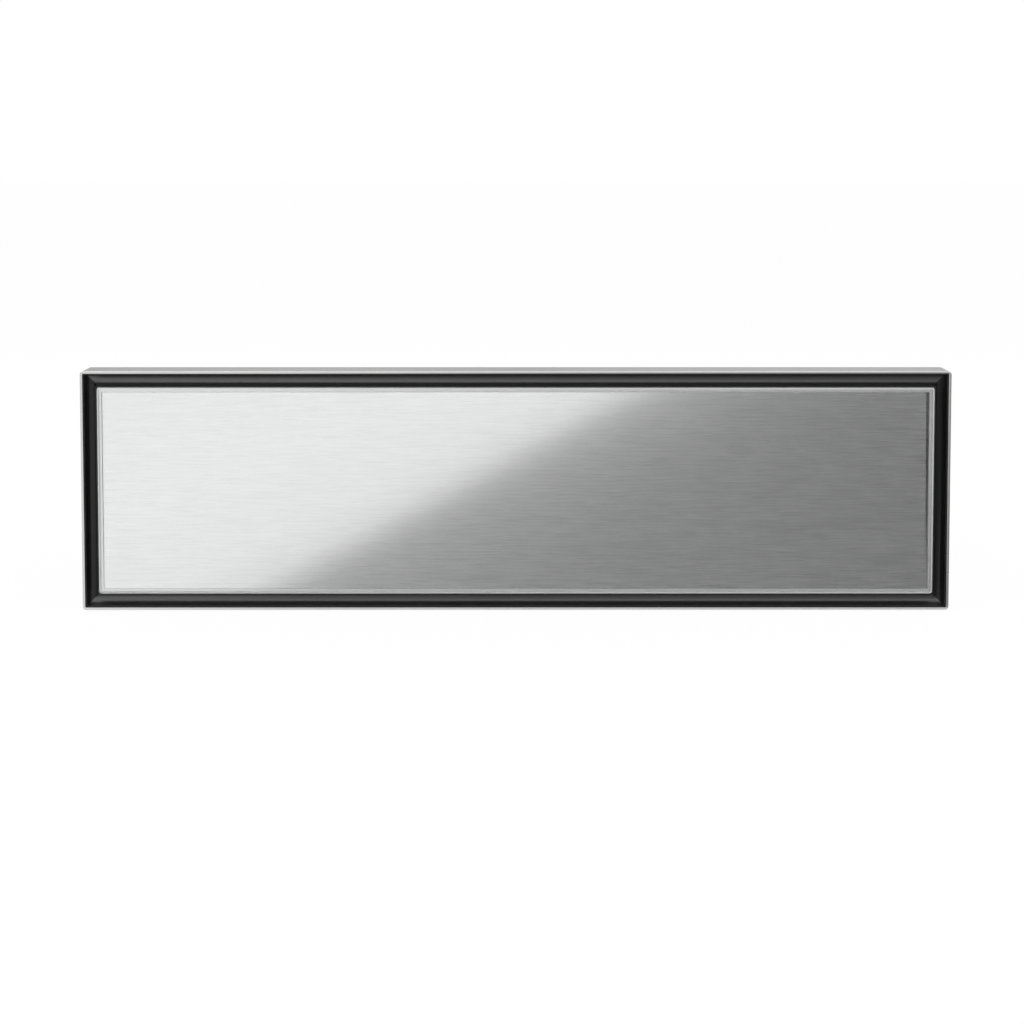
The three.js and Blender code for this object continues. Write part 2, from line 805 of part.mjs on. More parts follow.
// A fluted knob on a skirt, with a pointer ridge across its top.
function controlKnob() {
  const bottom = ledgeTop + gap;
  const skirtTop = bottom + knobSkirt;
  const gripTop = bottom + knobHeight;
  const steps = knobLobes * 4;
  const outline = Array.from({ length: steps }, (_, i) => {
    const angle = (i / steps) * Math.PI * 2;
    const radius = knobRadius - knobGripInset + knobLobeDepth * Math.cos(knobLobes * angle);
    return new THREE.Vector2(radius * Math.cos(angle), radius * Math.sin(angle));
  });
  const grip = new THREE.ExtrudeGeometry(new THREE.Shape(outline), {
    depth: gripTop - skirtTop - knobEdge,
    bevelThickness: knobEdge,
    bevelSize: knobEdge,
    bevelOffset: -knobEdge,
    bevelSegments: 1,
  }).translate(0, 0, skirtTop);
  const skirt = turned([
    [0, bottom], [knobRadius, bottom], [knobRadius, skirtTop - 1],
    [knobRadius - knobSkirtBevel, skirtTop], [0, skirtTop],
  ], 40);
  const shaftEnd = switchTop - shaftLength;
  const shaft = turned([
    [0, shaftEnd], [shaftRadius, shaftEnd], [shaftRadius, bottom + 1], [0, bottom + 1],
  ], 20);
  const pointer = block([-pointerWidth / 2, pointerWidth / 2], [0, knobRadius - 1.5],
    [gripTop - 1, gripTop + pointerRise]);
  return join(skirt, grip, shaft, pointer).translate(knobX, controlY, 0);
}

function powerButton() {
  const stemEnd = switchTop - stemLength;
  const capBottom = switchTop - buttonRecess + buttonTravel + 0.4;
  const capTop = ledgeTop + 2.6;
  return turned([
    [0, stemEnd], [stemRadius, stemEnd], [stemRadius, capBottom], [buttonRadius, capBottom],
    [buttonRadius, capTop - 0.8], [buttonRadius - 0.8, capTop], [0, capTop - 0.5],
  ], 28).translate(buttonX, controlY, 0);
}

// ---------------------------------------------------------------- telescopic slides

// Depths run from the housing side inwards, heights from the middle of the slide.
const slideHalf = slideSheet / 2;
const cageHalf = cageSheet / 2;
const outerCageDepth = slideSheet + gap + cageHalf;
const middleDepth = outerCageDepth + cageHalf + gap + slideHalf;
const innerCageDepth = middleDepth + slideHalf + gap + cageHalf;
const innerDepth = slideStack - slideHalf;
const innerBallHeight = innerSlideHalf + ballPlay + ballRadius;
const middleHeight = innerBallHeight + ballRadius + ballPlay + slideHalf;
const outerBallHeight = middleHeight + slideHalf + ballPlay + ballRadius;
const outerHeight = outerBallHeight + ballRadius + ballPlay + slideHalf;
const outerBallDepth = middleDepth + 3;
const innerBallDepth = innerCageDepth + 3.6;

function slideShape(line, thickness) {
  return sheetShape(line.map(([depth, height]) => [slideFace - depth, slideLevel + height]), thickness);
}

function slideOuter() {
  const lip = innerDepth - 0.9;
  const tip = outerHeight - 3.3;
  const channel = alongY(slideShape([
    [lip, -tip], [lip, -outerHeight], [slideHalf, -outerHeight],
    [slideHalf, outerHeight], [lip, outerHeight], [lip, tip],
  ], slideSheet), slideStart, slideStart + slideLength);
  const slots = [0.15, 0.5, 0.85].map((share) => {
    const shape = slotShape(slideStart + slideLength * share, slideLevel, slideSlotLength, slideSlotWidth);
    return alongX(shape, slideFace - slideSheet - 1, slideFace + 1);
  });
  return cut(channel, ...slots);
}

function slideMiddle() {
  const start = slideStart + middleSetback;
  const tip = innerDepth - 0.6;
  return alongY(slideShape([
    [tip, -middleHeight], [middleDepth, -middleHeight], [middleDepth, middleHeight], [tip, middleHeight],
  ], slideSheet), start, start + slideLength - 2 * middleSetback);
}

function slideInner() {
  const height = innerSlideHalf - slideHalf;
  const tip = innerCageDepth + cageHalf + 0.5;
  const shape = slideShape([
    [tip, -height], [innerDepth, -height], [innerDepth, height], [tip, height],
  ], slideSheet);
  return alongY(shape, slideStart, slideStart + slideLength - innerShortening);
}

// A bent retainer strip with a row of balls along each leg.
function ballCage(web, height, ballDepth, start) {
  const tip = ballDepth + ballRadius + 0.1;
  const shape = slideShape([[tip, -height], [web, -height], [web, height], [tip, height]], cageSheet);
  const strip = alongY(shape, start, start + cageLength);
  const pitch = cageLength / ballsPerRow;
  const balls = [-1, 1].flatMap((side) => Array.from({ length: ballsPerRow }, (_, i) => (
    new THREE.SphereGeometry(ballRadius, 6, 4)
      .translate(slideFace - ballDepth, start + (i + 0.5) * pitch, slideLevel + side * height)
  )));
  return join(strip, ...balls);
}

function cageOuter() {
  const start = slideStart + outerCageMargin + travel / 4;
  return ballCage(outerCageDepth, outerBallHeight, outerBallDepth, start);
}

function cageInner() {
  const start = slideStart + middleSetback + innerCageMargin + travel / 4;
  return ballCage(innerCageDepth, innerBallHeight, innerBallDepth, start);
}

// ---------------------------------------------------------------- housing

function frontCollar() {
  const outer = sideOuter + collarReach;
  const shape = plateShape([-outer, outer], [housingBottom + 0.5, collarTop], 2);
  const inner = sideOuter - collarInset;
  shape.holes.push(plateShape([-inner, inner], [collarSill, collarHead], 2));
  return alongY(shape, 0, collarSheet);
}

const panelStart = collarSheet + gap;
const topUnder = housingTop - housingSheet;
const sideTop = topUnder - gap;

function sidePanel() {
  const half = housingSheet / 2;
  const x = sideOuter - half;
  const inside = x - sideFlange;
  const beadLow = beadMiddle - beadHeight / 2;
  const beadHigh = beadMiddle + beadHeight / 2;
  const panel = alongY(sheetShape([
    [inside, housingBottom + half], [x, housingBottom + half],
    [x, beadLow - beadDepth], [x + beadDepth, beadLow], [x + beadDepth, beadHigh], [x, beadHigh + beadDepth],
    [x, sideTop - half], [inside, sideTop - half],
  ], housingSheet), panelStart, rearFace);
  const level = (beadHigh + beadDepth + sideTop) / 2;
  const slots = Array.from({ length: sideVents }, (_, i) => {
    const shape = slotShape(rearFace - sideVentInset - i * sideVentPitch, level, sideVentLength, ventWidth);
    return alongX(shape, sideInner - 1, sideOuter + 1);
  });
  return cut(panel, ...slots);
}

function basePanel() {
  const half = housingSheet / 2;
  const x = slideFace - half;
  const z = baseLevel + half;
  const beadOuter = sideOuter - baseBeadInset;
  const beadInner = beadOuter - baseBeadWidth;
  const rightHalf = [
    [beadInner - baseBead, z], [beadInner, z + baseBead], [beadOuter, z + baseBead],
    [beadOuter + baseBead, z], [x, z], [x, z + baseFlange],
  ];
  const line = [...rightHalf.map(([a, b]) => [-a, b]).reverse(), ...rightHalf];
  const panel = alongY(sheetShape(line, housingSheet), panelStart, rearFace - housingSheet - gap);
  const notches = [-1, 1].map((side) => {
    const inner = side * (x - half - 1);
    const outer = side * (x + half + 1);
    return block([Math.min(inner, outer), Math.max(inner, outer)],
      [rearFace - rearFlange - 2, rearFace + 1], [baseTop + 0.05, baseTop + baseFlange + 1]);
  });
  const vents = Array.from({ length: baseVents }, (_, i) => {
    const x = (i - (baseVents - 1) / 2) * baseVentPitch;
    return alongZ(slotShape(x, baseVentY, baseVentLength, baseVentWidth), baseLevel - 1, baseTop + 1);
  });
  return cut(panel, ...notches, ...vents);
}

// The top sheet, with a shallow pressed field and a flange down over the rear panel.
function topPanel() {
  const back = housingDepth;
  const middle = (panelStart + back) / 2;
  const halfY = (back - panelStart) / 2;
  const at = (margin, z, radius) => loop(sideOuter - margin, halfY - margin, radius, 3)
    .map(([x, y]) => new THREE.Vector3(x, middle + y, z));
  const sheet = skin([
    at(plateauMargin + plateauSlope, topUnder - plateauStep, plateauCorner - plateauSlope),
    at(plateauMargin, topUnder, plateauCorner),
    at(0, topUnder, 1.5),
    at(0, housingTop, 1.5),
    at(plateauMargin, housingTop, plateauCorner),
    at(plateauMargin + plateauSlope, housingTop - plateauStep, plateauCorner - plateauSlope),
  ], true);
  const flange = block([-sideOuter + 20, sideOuter - 20], [back - housingSheet, back],
    [housingTop - topFlangeDrop, topUnder + housingSheet / 2]);
  return join(sheet, flange);
}

function rearPanel() {
  const half = housingSheet / 2;
  const x = slideFace - half;
  const y = rearFace - half;
  const bottom = baseTop + gap;
  const top = sideTop - housingSheet - gap;
  const section = sheetShape([[-x, y - rearFlange], [-x, y], [x, y], [x, y - rearFlange]], housingSheet);
  const feet = [-1, 1].map((side) => {
    const inner = side * (x - half - 1);
    const outer = side * (x + half + 1);
    return block([Math.min(inner, outer), Math.max(inner, outer)],
      [rearFace - rearFlange - 2, rearFace - housingSheet], [bottom - 1, baseTop + baseFlange + gap]);
  });
  const louvres = [0, 1, 2].flatMap((row) => [1, 2, 3].map((column) => {
    const level = louvreLevel + row * louvrePitch;
    const shape = slotShape(-column * louvreSpread, level, louvreLength, ventWidth);
    return alongY(shape, rearFace - 3, rearFace + 1);
  }));
  const inletHalf = inletWidth / 2 + gap;
  const inlet = block([inletX - inletHalf, inletX + inletHalf], [rearFace - 3, rearFace + 1],
    [inletZ - inletHeight / 2 - gap, inletZ + inletHeight / 2 + gap]);
  return cut(alongZ(section, bottom, top), ...feet, ...louvres, inlet);
}

// The plate over the drawer, hung by its lips under the side panels' top flanges.
function ceilingPlate() {
  const half = housingSheet / 2;
  const x = sideOuter - ceilingInset - half;
  const lip = sideTop - housingSheet - gap - half;
  const section = sheetShape([
    [-x - ceilingLip, lip], [-x, lip], [-x, ceilingHeight + half],
    [x, ceilingHeight + half], [x, lip], [x + ceilingLip, lip],
  ], housingSheet);
  return alongY(section, collarSheet + 4.5, rearFace - rearFlange - 1);
}

function topInsulation() {
  const x = sideOuter - ceilingInset - housingSheet - 1;
  return block([-x, x], [12, rearFace - rearFlange - 6],
    [ceilingHeight + housingSheet + gap, topUnder - plateauStep - 0.9]);
}

function foot() {
  return turned([
    [0, 0], [footRadius - 1.5, 0], [footRadius, 1.5], [footRadius - 1, footHeight], [0, footHeight],
  ], 20);
}

// A bent lug on the housing side, screwed through its slot to the wall of the niche.
function fixingLug() {
  const half = housingSheet / 2;
  const near = sideOuter + gap + half;
  const far = sideOuter + lugStand - half;
  const bend = lugStart + lugBend;
  const strip = alongZ(sheetShape([
    [near, lugStart], [near, bend], [far, bend + lugStand], [far, lugStart + lugLength],
  ], housingSheet), lugMiddle - lugHeight / 2, lugMiddle + lugHeight / 2);
  const slotY = lugStart + lugLength - lugSlotInset;
  const slot = slotShape(slotY, lugMiddle + lugSlotRise, lugSlotLength, lugSlotWidth);
  return cut(strip, alongX(slot, near - 2, far + 2));
}

// ---------------------------------------------------------------- push latches

const latchFront = drawerDepth + pushTravel + 4.3;
const plungerFront = drawerDepth + pushTravel + 0.6;

// A latch body arched over its bore, on a wide foot.
function pushLatch() {
  const bottom = baseTop + gap;
  const half = latchWidth / 2;
  const outline = new THREE.Shape();
  outline.moveTo(-half, bottom);
  outline.lineTo(half, bottom);
  outline.lineTo(half, latchLevel);
  outline.absarc(0, latchLevel, half, 0, Math.PI, false);
  outline.lineTo(-half, bottom);
  const back = latchFront + latchLength;
  const body = alongY(outline, latchFront, back);
  const foot = plateShape([-latchFoot / 2, latchFoot / 2], [latchFront, back], 3);
  const flange = alongZ(foot, bottom, bottom + 3);
  const bore = alongY(discShape(0, latchLevel, plungerRadius + gap, 20), latchFront - 1, latchFront + 30);
  const screws = [-1, 1].map((side) => {
    const shape = discShape(side * (half + latchFoot / 2) / 2, latchFront + latchLength / 2, 1.8, 12);
    return alongZ(shape, bottom - 1, bottom + 5);
  });
  return cut(join(body, flange), bore, ...screws).translate(latchX, 0, 0);
}

function plunger() {
  const head = [[0, 0], [plungerHead - 0.8, 0], [plungerHead, 0.8], [plungerHead, 3], [plungerRadius, 3]];
  const rod = [[plungerRadius, plungerLength - 1], [plungerRadius - 1, plungerLength], [0, plungerLength]];
  return turned([...head, ...rod], 20).rotateX(-Math.PI / 2).translate(latchX, plungerFront, latchLevel);
}

// ---------------------------------------------------------------- supply

// A recessed three-pin inlet in the rear panel.
function mainsInlet() {
  const back = housingDepth;
  const seat = rearFace + gap;
  const [halfX, halfZ] = [inletFlangeWidth / 2, inletFlangeHeight / 2];
  const flange = alongY(plateShape([-halfX, halfX], [-halfZ, halfZ], 4), seat, back);
  const body = block([-inletWidth / 2, inletWidth / 2], [seat - inletBody, seat + 0.6],
    [-inletHeight / 2, inletHeight / 2]);
  const recess = alongY(plateShape([-12, 12], [-8, 8], 2), back - inletRecess, back + 1);
  const ears = [-1, 1].map((side) => alongY(discShape(side * inletScrewX, 0, 1.8, 12), seat - 1, back + 1));
  const pinEnd = back - inletRecess + pinLength - 0.5;
  const pins = [[-7, -1], [0, 3], [7, -1]].map(([x, z]) => (
    block([x - 1, x + 1], [pinEnd - pinLength, pinEnd], [z - 2, z + 2])
  ));
  return join(cut(join(flange, body), recess, ...ears), ...pins).translate(inletX, 0, inletZ);
}

const terminalFront = drawerDepth + pushTravel + 3;

function terminalBox() {
  const bottom = baseTop + gap;
  const half = terminalWidth / 2;
  const lidBottom = bottom + terminalHeight - terminalLid;
  const body = block([-half + 1, half - 1], [terminalFront, terminalFront + terminalDepth - 1],
    [bottom, lidBottom + 1]);
  const lid = block([-half, half], [terminalFront - 0.5, terminalFront + terminalDepth],
    [lidBottom, bottom + terminalHeight]);
  const entries = [-1, 0, 1].map((i) => (
    alongY(discShape(terminalWidth * 0.22 * i, bottom + terminalHeight * 0.45, 3, 12),
      terminalFront - 1, terminalFront + 4)
  ));
  return cut(join(body, lid), ...entries).translate(terminalX, 0, 0);
}

const leadLevel = baseTop + 0.65 + leadRadius;
const clampX = leadX - 2 * leadTurn - 2 * leadWideTurn;
const clampStart = drawerDepth - clampLength;
const leadRearTurn = drawerDepth + 5;

// The lead's route on the base panel: forward, back in a tight turn, and round to the drawer's clamp.
function supplyLead() {
  const turnAt = housingDepth * leadTurnShare;
  const path = [
    new THREE.Vector3(leadX, terminalFront - gap, leadLevel),
    ...arcPoints(leadX - leadTurn, turnAt, leadLevel, leadTurn, 0, -2, 8),
    ...arcPoints(leadX - 2 * leadTurn - leadWideTurn, leadRearTurn, leadLevel, leadWideTurn, 0, 2, 12),
    new THREE.Vector3(clampX, clampStart + clampLength + gap, leadLevel),
  ];
  return rodAlong(path, leadRadius, 8);
}

function leadClamp() {
  const top = drawerBottom - gap;
  const end = clampStart + clampLength;
  const clamp = block([clampX - clampWidth / 2, clampX + clampWidth / 2], [clampStart, end],
    [leadLevel - leadRadius - 0.2, top]);
  const bore = alongY(discShape(clampX, leadLevel, leadRadius - 0.4, 12), clampStart - 1, end + 1);
  return cut(clamp, bore);
}

// ---------------------------------------------------------------- assembly

const drawer = new THREE.Group();
piece(drawer, 'outer_frame', outerFrame(), rimSteel);
piece(drawer, 'gutter_frame', gutterFrame(), satinBlack);
piece(drawer, 'glass_front', glassFront(), clearGlass);
piece(drawer, 'steel_facing', steelFacing(), brushedSteel);
piece(drawer, 'panel_tray', panelTray(), aluminium);
piece(drawer, 'front_core', frontCore(), galvanised);
piece(drawer, 'front_insulation', frontInsulation(), mineralWool);
piece(drawer, 'inner_front', innerFront(), stainless);
pair(drawer, 'front_bracket', frontBracket(), galvanised);
pair(drawer, 'drawer_side', drawerSide(), stainless);
piece(drawer, 'drawer_back', drawerBack(), stainless);
piece(drawer, 'under_pan', underPan(), galvanised);
piece(drawer, 'base_insulation', baseInsulation(), mineralWool);
piece(drawer, 'heat_reflector', heatReflector(), aluminium);
piece(drawer, 'heating_element', heatingElement(), heaterSteel);
piece(drawer, 'glass_thermostat', glassThermostat(), whitePlastic);
piece(drawer, 'cavity_tray', cavityTray(), stainless);
piece(drawer, 'base_seal', baseSeal(), greyRubber);
piece(drawer, 'glass_base', glassBase(), tintedGlass);
piece(drawer, 'control_ledge', controlLedge(), stainless);
piece(drawer, 'selector_switch', selectorSwitch(), whitePlastic);
piece(drawer, 'power_switch', powerSwitch(), whitePlastic);
piece(drawer, 'control_board', controlBoard(), greenBoard);
piece(drawer, 'pilot_lens', pilotLens(), amberLens);
piece(drawer, 'control_knob', controlKnob(), blackPlastic);
piece(drawer, 'power_button', powerButton(), blackPlastic);
piece(drawer, 'lead_clamp', leadClamp(), greyPlastic);
pair(drawer, 'slide_inner', slideInner(), zincPlate);

const runners = new THREE.Group();
pair(runners, 'slide_middle', slideMiddle(), zincPlate);
pair(runners, 'cage_outer', cageOuter(), stainless);
pair(runners, 'cage_inner', cageInner(), stainless);

const housing = new THREE.Group();
piece(housing, 'front_collar', frontCollar(), galvanised);
pair(housing, 'side_panel', sidePanel(), galvanised);
piece(housing, 'base_panel', basePanel(), galvanised);
piece(housing, 'top_panel', topPanel(), galvanised);
piece(housing, 'rear_panel', rearPanel(), galvanised);
piece(housing, 'ceiling_plate', ceilingPlate(), galvanised);
piece(housing, 'top_insulation', topInsulation(), mineralWool);
pair(housing, 'fixing_lug', fixingLug(), galvanised);
pair(housing, 'slide_outer', slideOuter(), zincPlate);
pair(housing, 'push_latch', pushLatch(), blackPlastic);
pair(housing, 'plunger', plunger(), whitePlastic);
piece(housing, 'mains_inlet', mainsInlet(), blackPlastic);
piece(housing, 'terminal_box', terminalBox(), greyPlastic);
piece(housing, 'supply_lead', supplyLead(), blackRubber);
for (const [end, y] of [['front', footInset], ['rear', housingDepth - footInset]]) {
  pair(housing, `foot_${end}`, foot().translate(sideOuter - footInset, y, 0), blackRubber);
}

// The origin lies under the middle of the whole appliance, front to back.
const group = new THREE.Group();
group.add(housing, runners, drawer);
group.position.y = -(frontFace + housingDepth) / 2;

export default group;
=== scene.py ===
# Built-in warming drawer: the visible finish of every piece, put together from the camera and the room
# inwards, then from the housing to the drawer and its front. Metres, +Z up, front towards -Y.
import math

import bpy
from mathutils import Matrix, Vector


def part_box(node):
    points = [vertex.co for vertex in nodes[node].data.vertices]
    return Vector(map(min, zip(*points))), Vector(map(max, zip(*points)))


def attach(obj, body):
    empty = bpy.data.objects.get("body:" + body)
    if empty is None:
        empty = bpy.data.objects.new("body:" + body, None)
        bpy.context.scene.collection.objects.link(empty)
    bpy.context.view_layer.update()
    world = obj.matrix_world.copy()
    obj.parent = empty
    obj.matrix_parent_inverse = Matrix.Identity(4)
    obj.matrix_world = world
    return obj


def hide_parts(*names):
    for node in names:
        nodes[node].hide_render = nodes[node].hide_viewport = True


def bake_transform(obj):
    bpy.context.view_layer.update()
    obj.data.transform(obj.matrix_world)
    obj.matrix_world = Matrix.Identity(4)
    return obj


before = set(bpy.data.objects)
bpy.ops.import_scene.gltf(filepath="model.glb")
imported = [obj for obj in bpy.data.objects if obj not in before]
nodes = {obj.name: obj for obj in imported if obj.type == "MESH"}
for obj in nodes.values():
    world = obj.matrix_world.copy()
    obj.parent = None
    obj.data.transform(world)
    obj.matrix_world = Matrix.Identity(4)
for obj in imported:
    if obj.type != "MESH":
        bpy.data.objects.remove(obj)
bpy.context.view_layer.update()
mm = 0.001


# -------------------------------------------- camera
# A long lens 2.3 m in front of the panel and a little above it, so that the top of the slab just shows.
# It looks down by 5 degrees, and a small downward shift of the lens keeps the front's sides nearly upright.
eye = Vector((-0.0052, -2.5902, 0.3935))
aim = Vector((-0.0032, -0.2675, 0.1946))
focal_length = 95.0
downward_shift = 0.12


def add_object(name, data):
    made = bpy.data.objects.new(name, data)
    bpy.context.collection.objects.link(made)
    return made


long_lens = bpy.data.cameras.new("camera")
long_lens.lens = focal_length
long_lens.sensor_width = 36
long_lens.shift_y = -downward_shift
camera = add_object("camera", long_lens)
camera.location = eye
camera.rotation_euler = (aim - eye).to_track_quat("-Z", "Y").to_euler()
bpy.context.scene.camera = camera
bpy.context.scene.view_settings.view_transform = "Standard"


# -------------------------------------------- supply lead
# The rubber-sheathed lead from the terminal box to the drawer, laid on the base panel with a tight turn
# near its middle. It is clipped at both ends, and its rear turn rolls out as the drawer opens.
lead_radius = 2.2 * mm
lead_x = 50 * mm
lead_tight_turn = 10 * mm
lead_wide_turn = 30 * mm
lead_tight_y = 23.5 * mm
lead_wide_y = 228.5 * mm


def quarter_arc(x, y, z, radius, first, last, steps):
    """Points round part of a circle at one level, its angles counted in quarter turns."""
    angles = [(first + (last - first) * step / steps) * math.pi / 2 for step in range(steps + 1)]
    return [Vector((x + radius * math.cos(angle), y + radius * math.sin(angle), z)) for angle in angles]


def spaced_out(points, pitch):
    """The same path with a point at least every pitch."""
    path = [points[0]]
    for point in points[1:]:
        parts = max(1, math.ceil((point - path[-1]).length / pitch))
        start = path[-1]
        path += [start.lerp(point, part / parts) for part in range(1, parts + 1)]
    return path


def loft(name, loops, capped=True, sharp=40):
    """A mesh skinned over loops of points, closed at its ends or joined last loop to first."""
    count = len(loops[0])
    points = [tuple(point) for points_of_loop in loops for point in points_of_loop]
    faces = []
    for i in range(len(loops) - (1 if capped else 0)):
        here, there = i * count, (i + 1) % len(loops) * count
        for j in range(count):
            k = (j + 1) % count
            faces.append((here + j, here + k, there + k, there + j))
    if capped:
        faces.append(tuple(reversed(range(count))))
        faces.append(tuple(range((len(loops) - 1) * count, len(loops) * count)))
    mesh = bpy.data.meshes.new(name)
    mesh.from_pydata(points, [], faces)
    face_outwards(mesh)
    mesh.shade_smooth()
    mesh.set_sharp_from_angle(angle=math.radians(sharp))
    return add_object(name, mesh)


def face_outwards(mesh):
    """Turns every face over if the closed mesh has a negative volume."""
    mesh.calc_loop_triangles()
    spots = [vertex.co for vertex in mesh.vertices]
    corners = [triangle.vertices for triangle in mesh.loop_triangles]
    volume = sum(spots[a].dot(spots[b].cross(spots[c])) for a, b, c in corners)
    if volume < 0:
        mesh.flip_normals()


def round_angles(count):
    return [i / count * 2 * math.pi for i in range(count)]


def round_rod(name, path, radius, sides):
    """A round rod along a path that lies at one level."""
    loops = []
    for i, point in enumerate(path):
        way = (path[min(i + 1, len(path) - 1)] - path[max(i - 1, 0)]).normalized()
        aside = Vector((0, 0, 1)).cross(way)
        loops.append([point + aside * radius * math.cos(angle) + Vector((0, 0, radius * math.sin(angle)))
                      for angle in round_angles(sides)])
    return loft(name, loops)


def new_finish(name, color, roughness, metallic=0.0, **sockets):
    """A material whose even values sit on the shader's own sockets, named with _ for a space."""
    made = bpy.data.materials.new(name)
    made.use_nodes = True
    shader = made.node_tree.nodes["Principled BSDF"]
    shader.inputs["Base Color"].default_value = (*color, 1)
    shader.inputs["Roughness"].default_value = roughness
    shader.inputs["Metallic"].default_value = metallic
    for socket, value in sockets.items():
        shader.inputs[socket.replace("_", " ")].default_value = value
    return made


def add_node(finish, kind, links=(), **values):
    """A node with its values set and the (input, output socket) pairs in links joined to it."""
    made = finish.node_tree.nodes.new(f"ShaderNode{kind}")
    for key, value in values.items():
        name = key.replace("_", " ")
        if name in made.inputs:
            made.inputs[name].default_value = value
        else:
            setattr(made, key, value)
    for socket, source in links:
        finish.node_tree.links.new(source, made.inputs[socket])
    return made


def wire(finish, source, socket, node="Principled BSDF"):
    """Joins an output to a socket of the shader, or of another named node."""
    finish.node_tree.links.new(source, finish.node_tree.nodes[node].inputs[socket])


def grain(finish, scale, stretch=(1, 1, 1), detail=3, roughness=0.5):
    """Noise over the piece's own place, stretched along its axes. Its pitch is about 1/scale metres."""
    place = add_node(finish, "TexCoord").outputs["Object"]
    spread = add_node(finish, "Mapping", [("Vector", place)], Scale=stretch)
    noise = add_node(finish, "TexNoise", [("Vector", spread.outputs["Vector"])],
                     Scale=scale, Detail=detail, Roughness=roughness)
    return noise.outputs["Fac"]


def tint(finish, signal, dark, light, low=0.3, high=0.7):
    """Colours the piece from dark to light as the signal goes from low to high."""
    ramp = add_node(finish, "ValToRGB", [("Fac", signal)])
    ramp.color_ramp.elements[0].position = low
    ramp.color_ramp.elements[0].color = (*dark, 1)
    ramp.color_ramp.elements[1].position = high
    ramp.color_ramp.elements[1].color = (*light, 1)
    wire(finish, ramp.outputs["Color"], "Base Color")


def gloss(finish, signal, low, high, socket="Roughness"):
    """Spreads the roughness, or another socket, from low to high over the signal's usual range."""
    spread = add_node(finish, "MapRange", [("Value", signal)],
                      From_Min=0.3, From_Max=0.7, To_Min=low, To_Max=high)
    wire(finish, spread.outputs["Result"], socket)


def relief(finish, signal, depth, strength=0.5):
    """Raises the surface by depth with the signal."""
    bump = add_node(finish, "Bump", [("Height", signal)], Strength=strength, Distance=depth)
    wire(finish, bump.outputs["Normal"], "Normal")


def fit(piece, finish, body, slot, *replaced):
    """Gives a piece its finish, its body if it isn't blended, and hides the CAD nodes it replaces; its slot
    is not used.
    """
    piece.data.materials.append(finish)
    if body:
        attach(piece, body)
    if replaced:
        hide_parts(*replaced)
    return piece


def grained(name, scale, shades, roughness, metallic=0.0, rise=0.0, rise_scale=None, detail=3, **sockets):
    """A finish with one grain in its colour and its gloss: each is even, or goes between two values.

    Its relief follows the same grain, or one of its own scale.
    """
    made = new_finish(name, shades[0], roughness[0], metallic, **sockets)
    signal = grain(made, scale, detail=detail)
    if len(shades) > 1:
        tint(made, signal, *shades)
    if len(roughness) > 1:
        gloss(made, signal, *roughness)
    if rise:
        relief(made, grain(made, rise_scale) if rise_scale else signal, rise)
    return made


def middle(name):
    """The middle of a node's box."""
    low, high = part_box(name)
    return (low + high) / 2


lead_sheath = grained("lead_rubber", 900, [(0.012, 0.012, 0.013), (0.022, 0.022, 0.024)], [0.55, 0.72],
                      rise=0.05 * mm, rise_scale=3000, Specular_IOR_Level=0.4)
lead_level = middle("supply_lead").z
lead_return_x = lead_x - 2 * lead_tight_turn
lead_end_x = lead_return_x - 2 * lead_wide_turn
lead_start_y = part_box("terminal_box")[0].y + 0.2 * mm
lead_end_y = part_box("lead_clamp")[1].y + 0.3 * mm
lead_path = [Vector((lead_x, lead_start_y, lead_level))]
lead_path += quarter_arc(lead_x - lead_tight_turn, lead_tight_y, lead_level, lead_tight_turn, 0, -2, 24)
lead_path += quarter_arc(lead_return_x - lead_wide_turn, lead_wide_y, lead_level, lead_wide_turn, 0, 2, 80)
lead_path.append(Vector((lead_end_x, lead_end_y, lead_level)))
supply_lead = round_rod("lead_sheath", spaced_out(lead_path, 3 * mm), lead_radius, 20)
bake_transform(supply_lead)
fit(supply_lead, lead_sheath, None, "black_rubber", "supply_lead")


# -------------------------------------------- studio
# A white floor and room, soft lamps, and the studio's flags, which only metal and glass see: one lies on
# the floor towards the right, and its edge makes the panel's slanting change from light to dark.
floor_size = 80
floor_grey = 0.93
floor_glow, floor_glow_share = 1.02, 0.94
room_light = 0.55
flag_near = -0.28
flag_lift = 1 * mm
flag_slope = -0.2075
flag_start = -0.303
flag_reach = 12
flag_width = 6
flag_fade = 0.3
flag_tones = [
    (-flag_fade, 1.0), (-0.1, 0.96), (-0.03, 0.87), (0.03, 0.50), (0.06, 0.42),
    (0.12, 0.365), (0.25, 0.285), (0.45, 0.23), (0.7, 0.19), (0.85, 0.02),
]
flag_last = flag_tones[-1][0]
side_flag_tones = {"left": 0.3, "right": 0.03}
side_flag_x, side_flag_front, side_flag_back, side_flag_top = 2.2, -2.6, 0.6, 2.4
back_flag_tone = 0.42
back_flag_x, back_flag_y, back_flag_top = 2.2, 1.4, 1.4


def seen_directly(finish):
    """1 for rays from the camera, from gloss or through glass, else 0."""
    rays = add_node(finish, "LightPath").outputs
    some = add_node(finish, "Math", [(0, rays["Is Camera Ray"]), (1, rays["Is Glossy Ray"])]).outputs[0]
    return add_node(finish, "Math", [(0, some), (1, rays["Is Transmission Ray"])], use_clamp=True).outputs[0]


def bare_material(name):
    """A material with an output and nothing else."""
    made = bpy.data.materials.new(name)
    made.use_nodes = True
    made.node_tree.nodes.remove(made.node_tree.nodes["Principled BSDF"])
    return made


def shine_out(finish, shader):
    wire(finish, shader.outputs[0], "Surface", "Material Output")


def studio_sheet(name, finish, corners):
    """A flat sheet of the studio, which isn't part of the object."""
    mesh = bpy.data.meshes.new(name)
    mesh.from_pydata(corners, [], [tuple(range(len(corners)))])
    mesh.materials.append(finish)
    sheet = add_object(name, mesh)
    return sheet


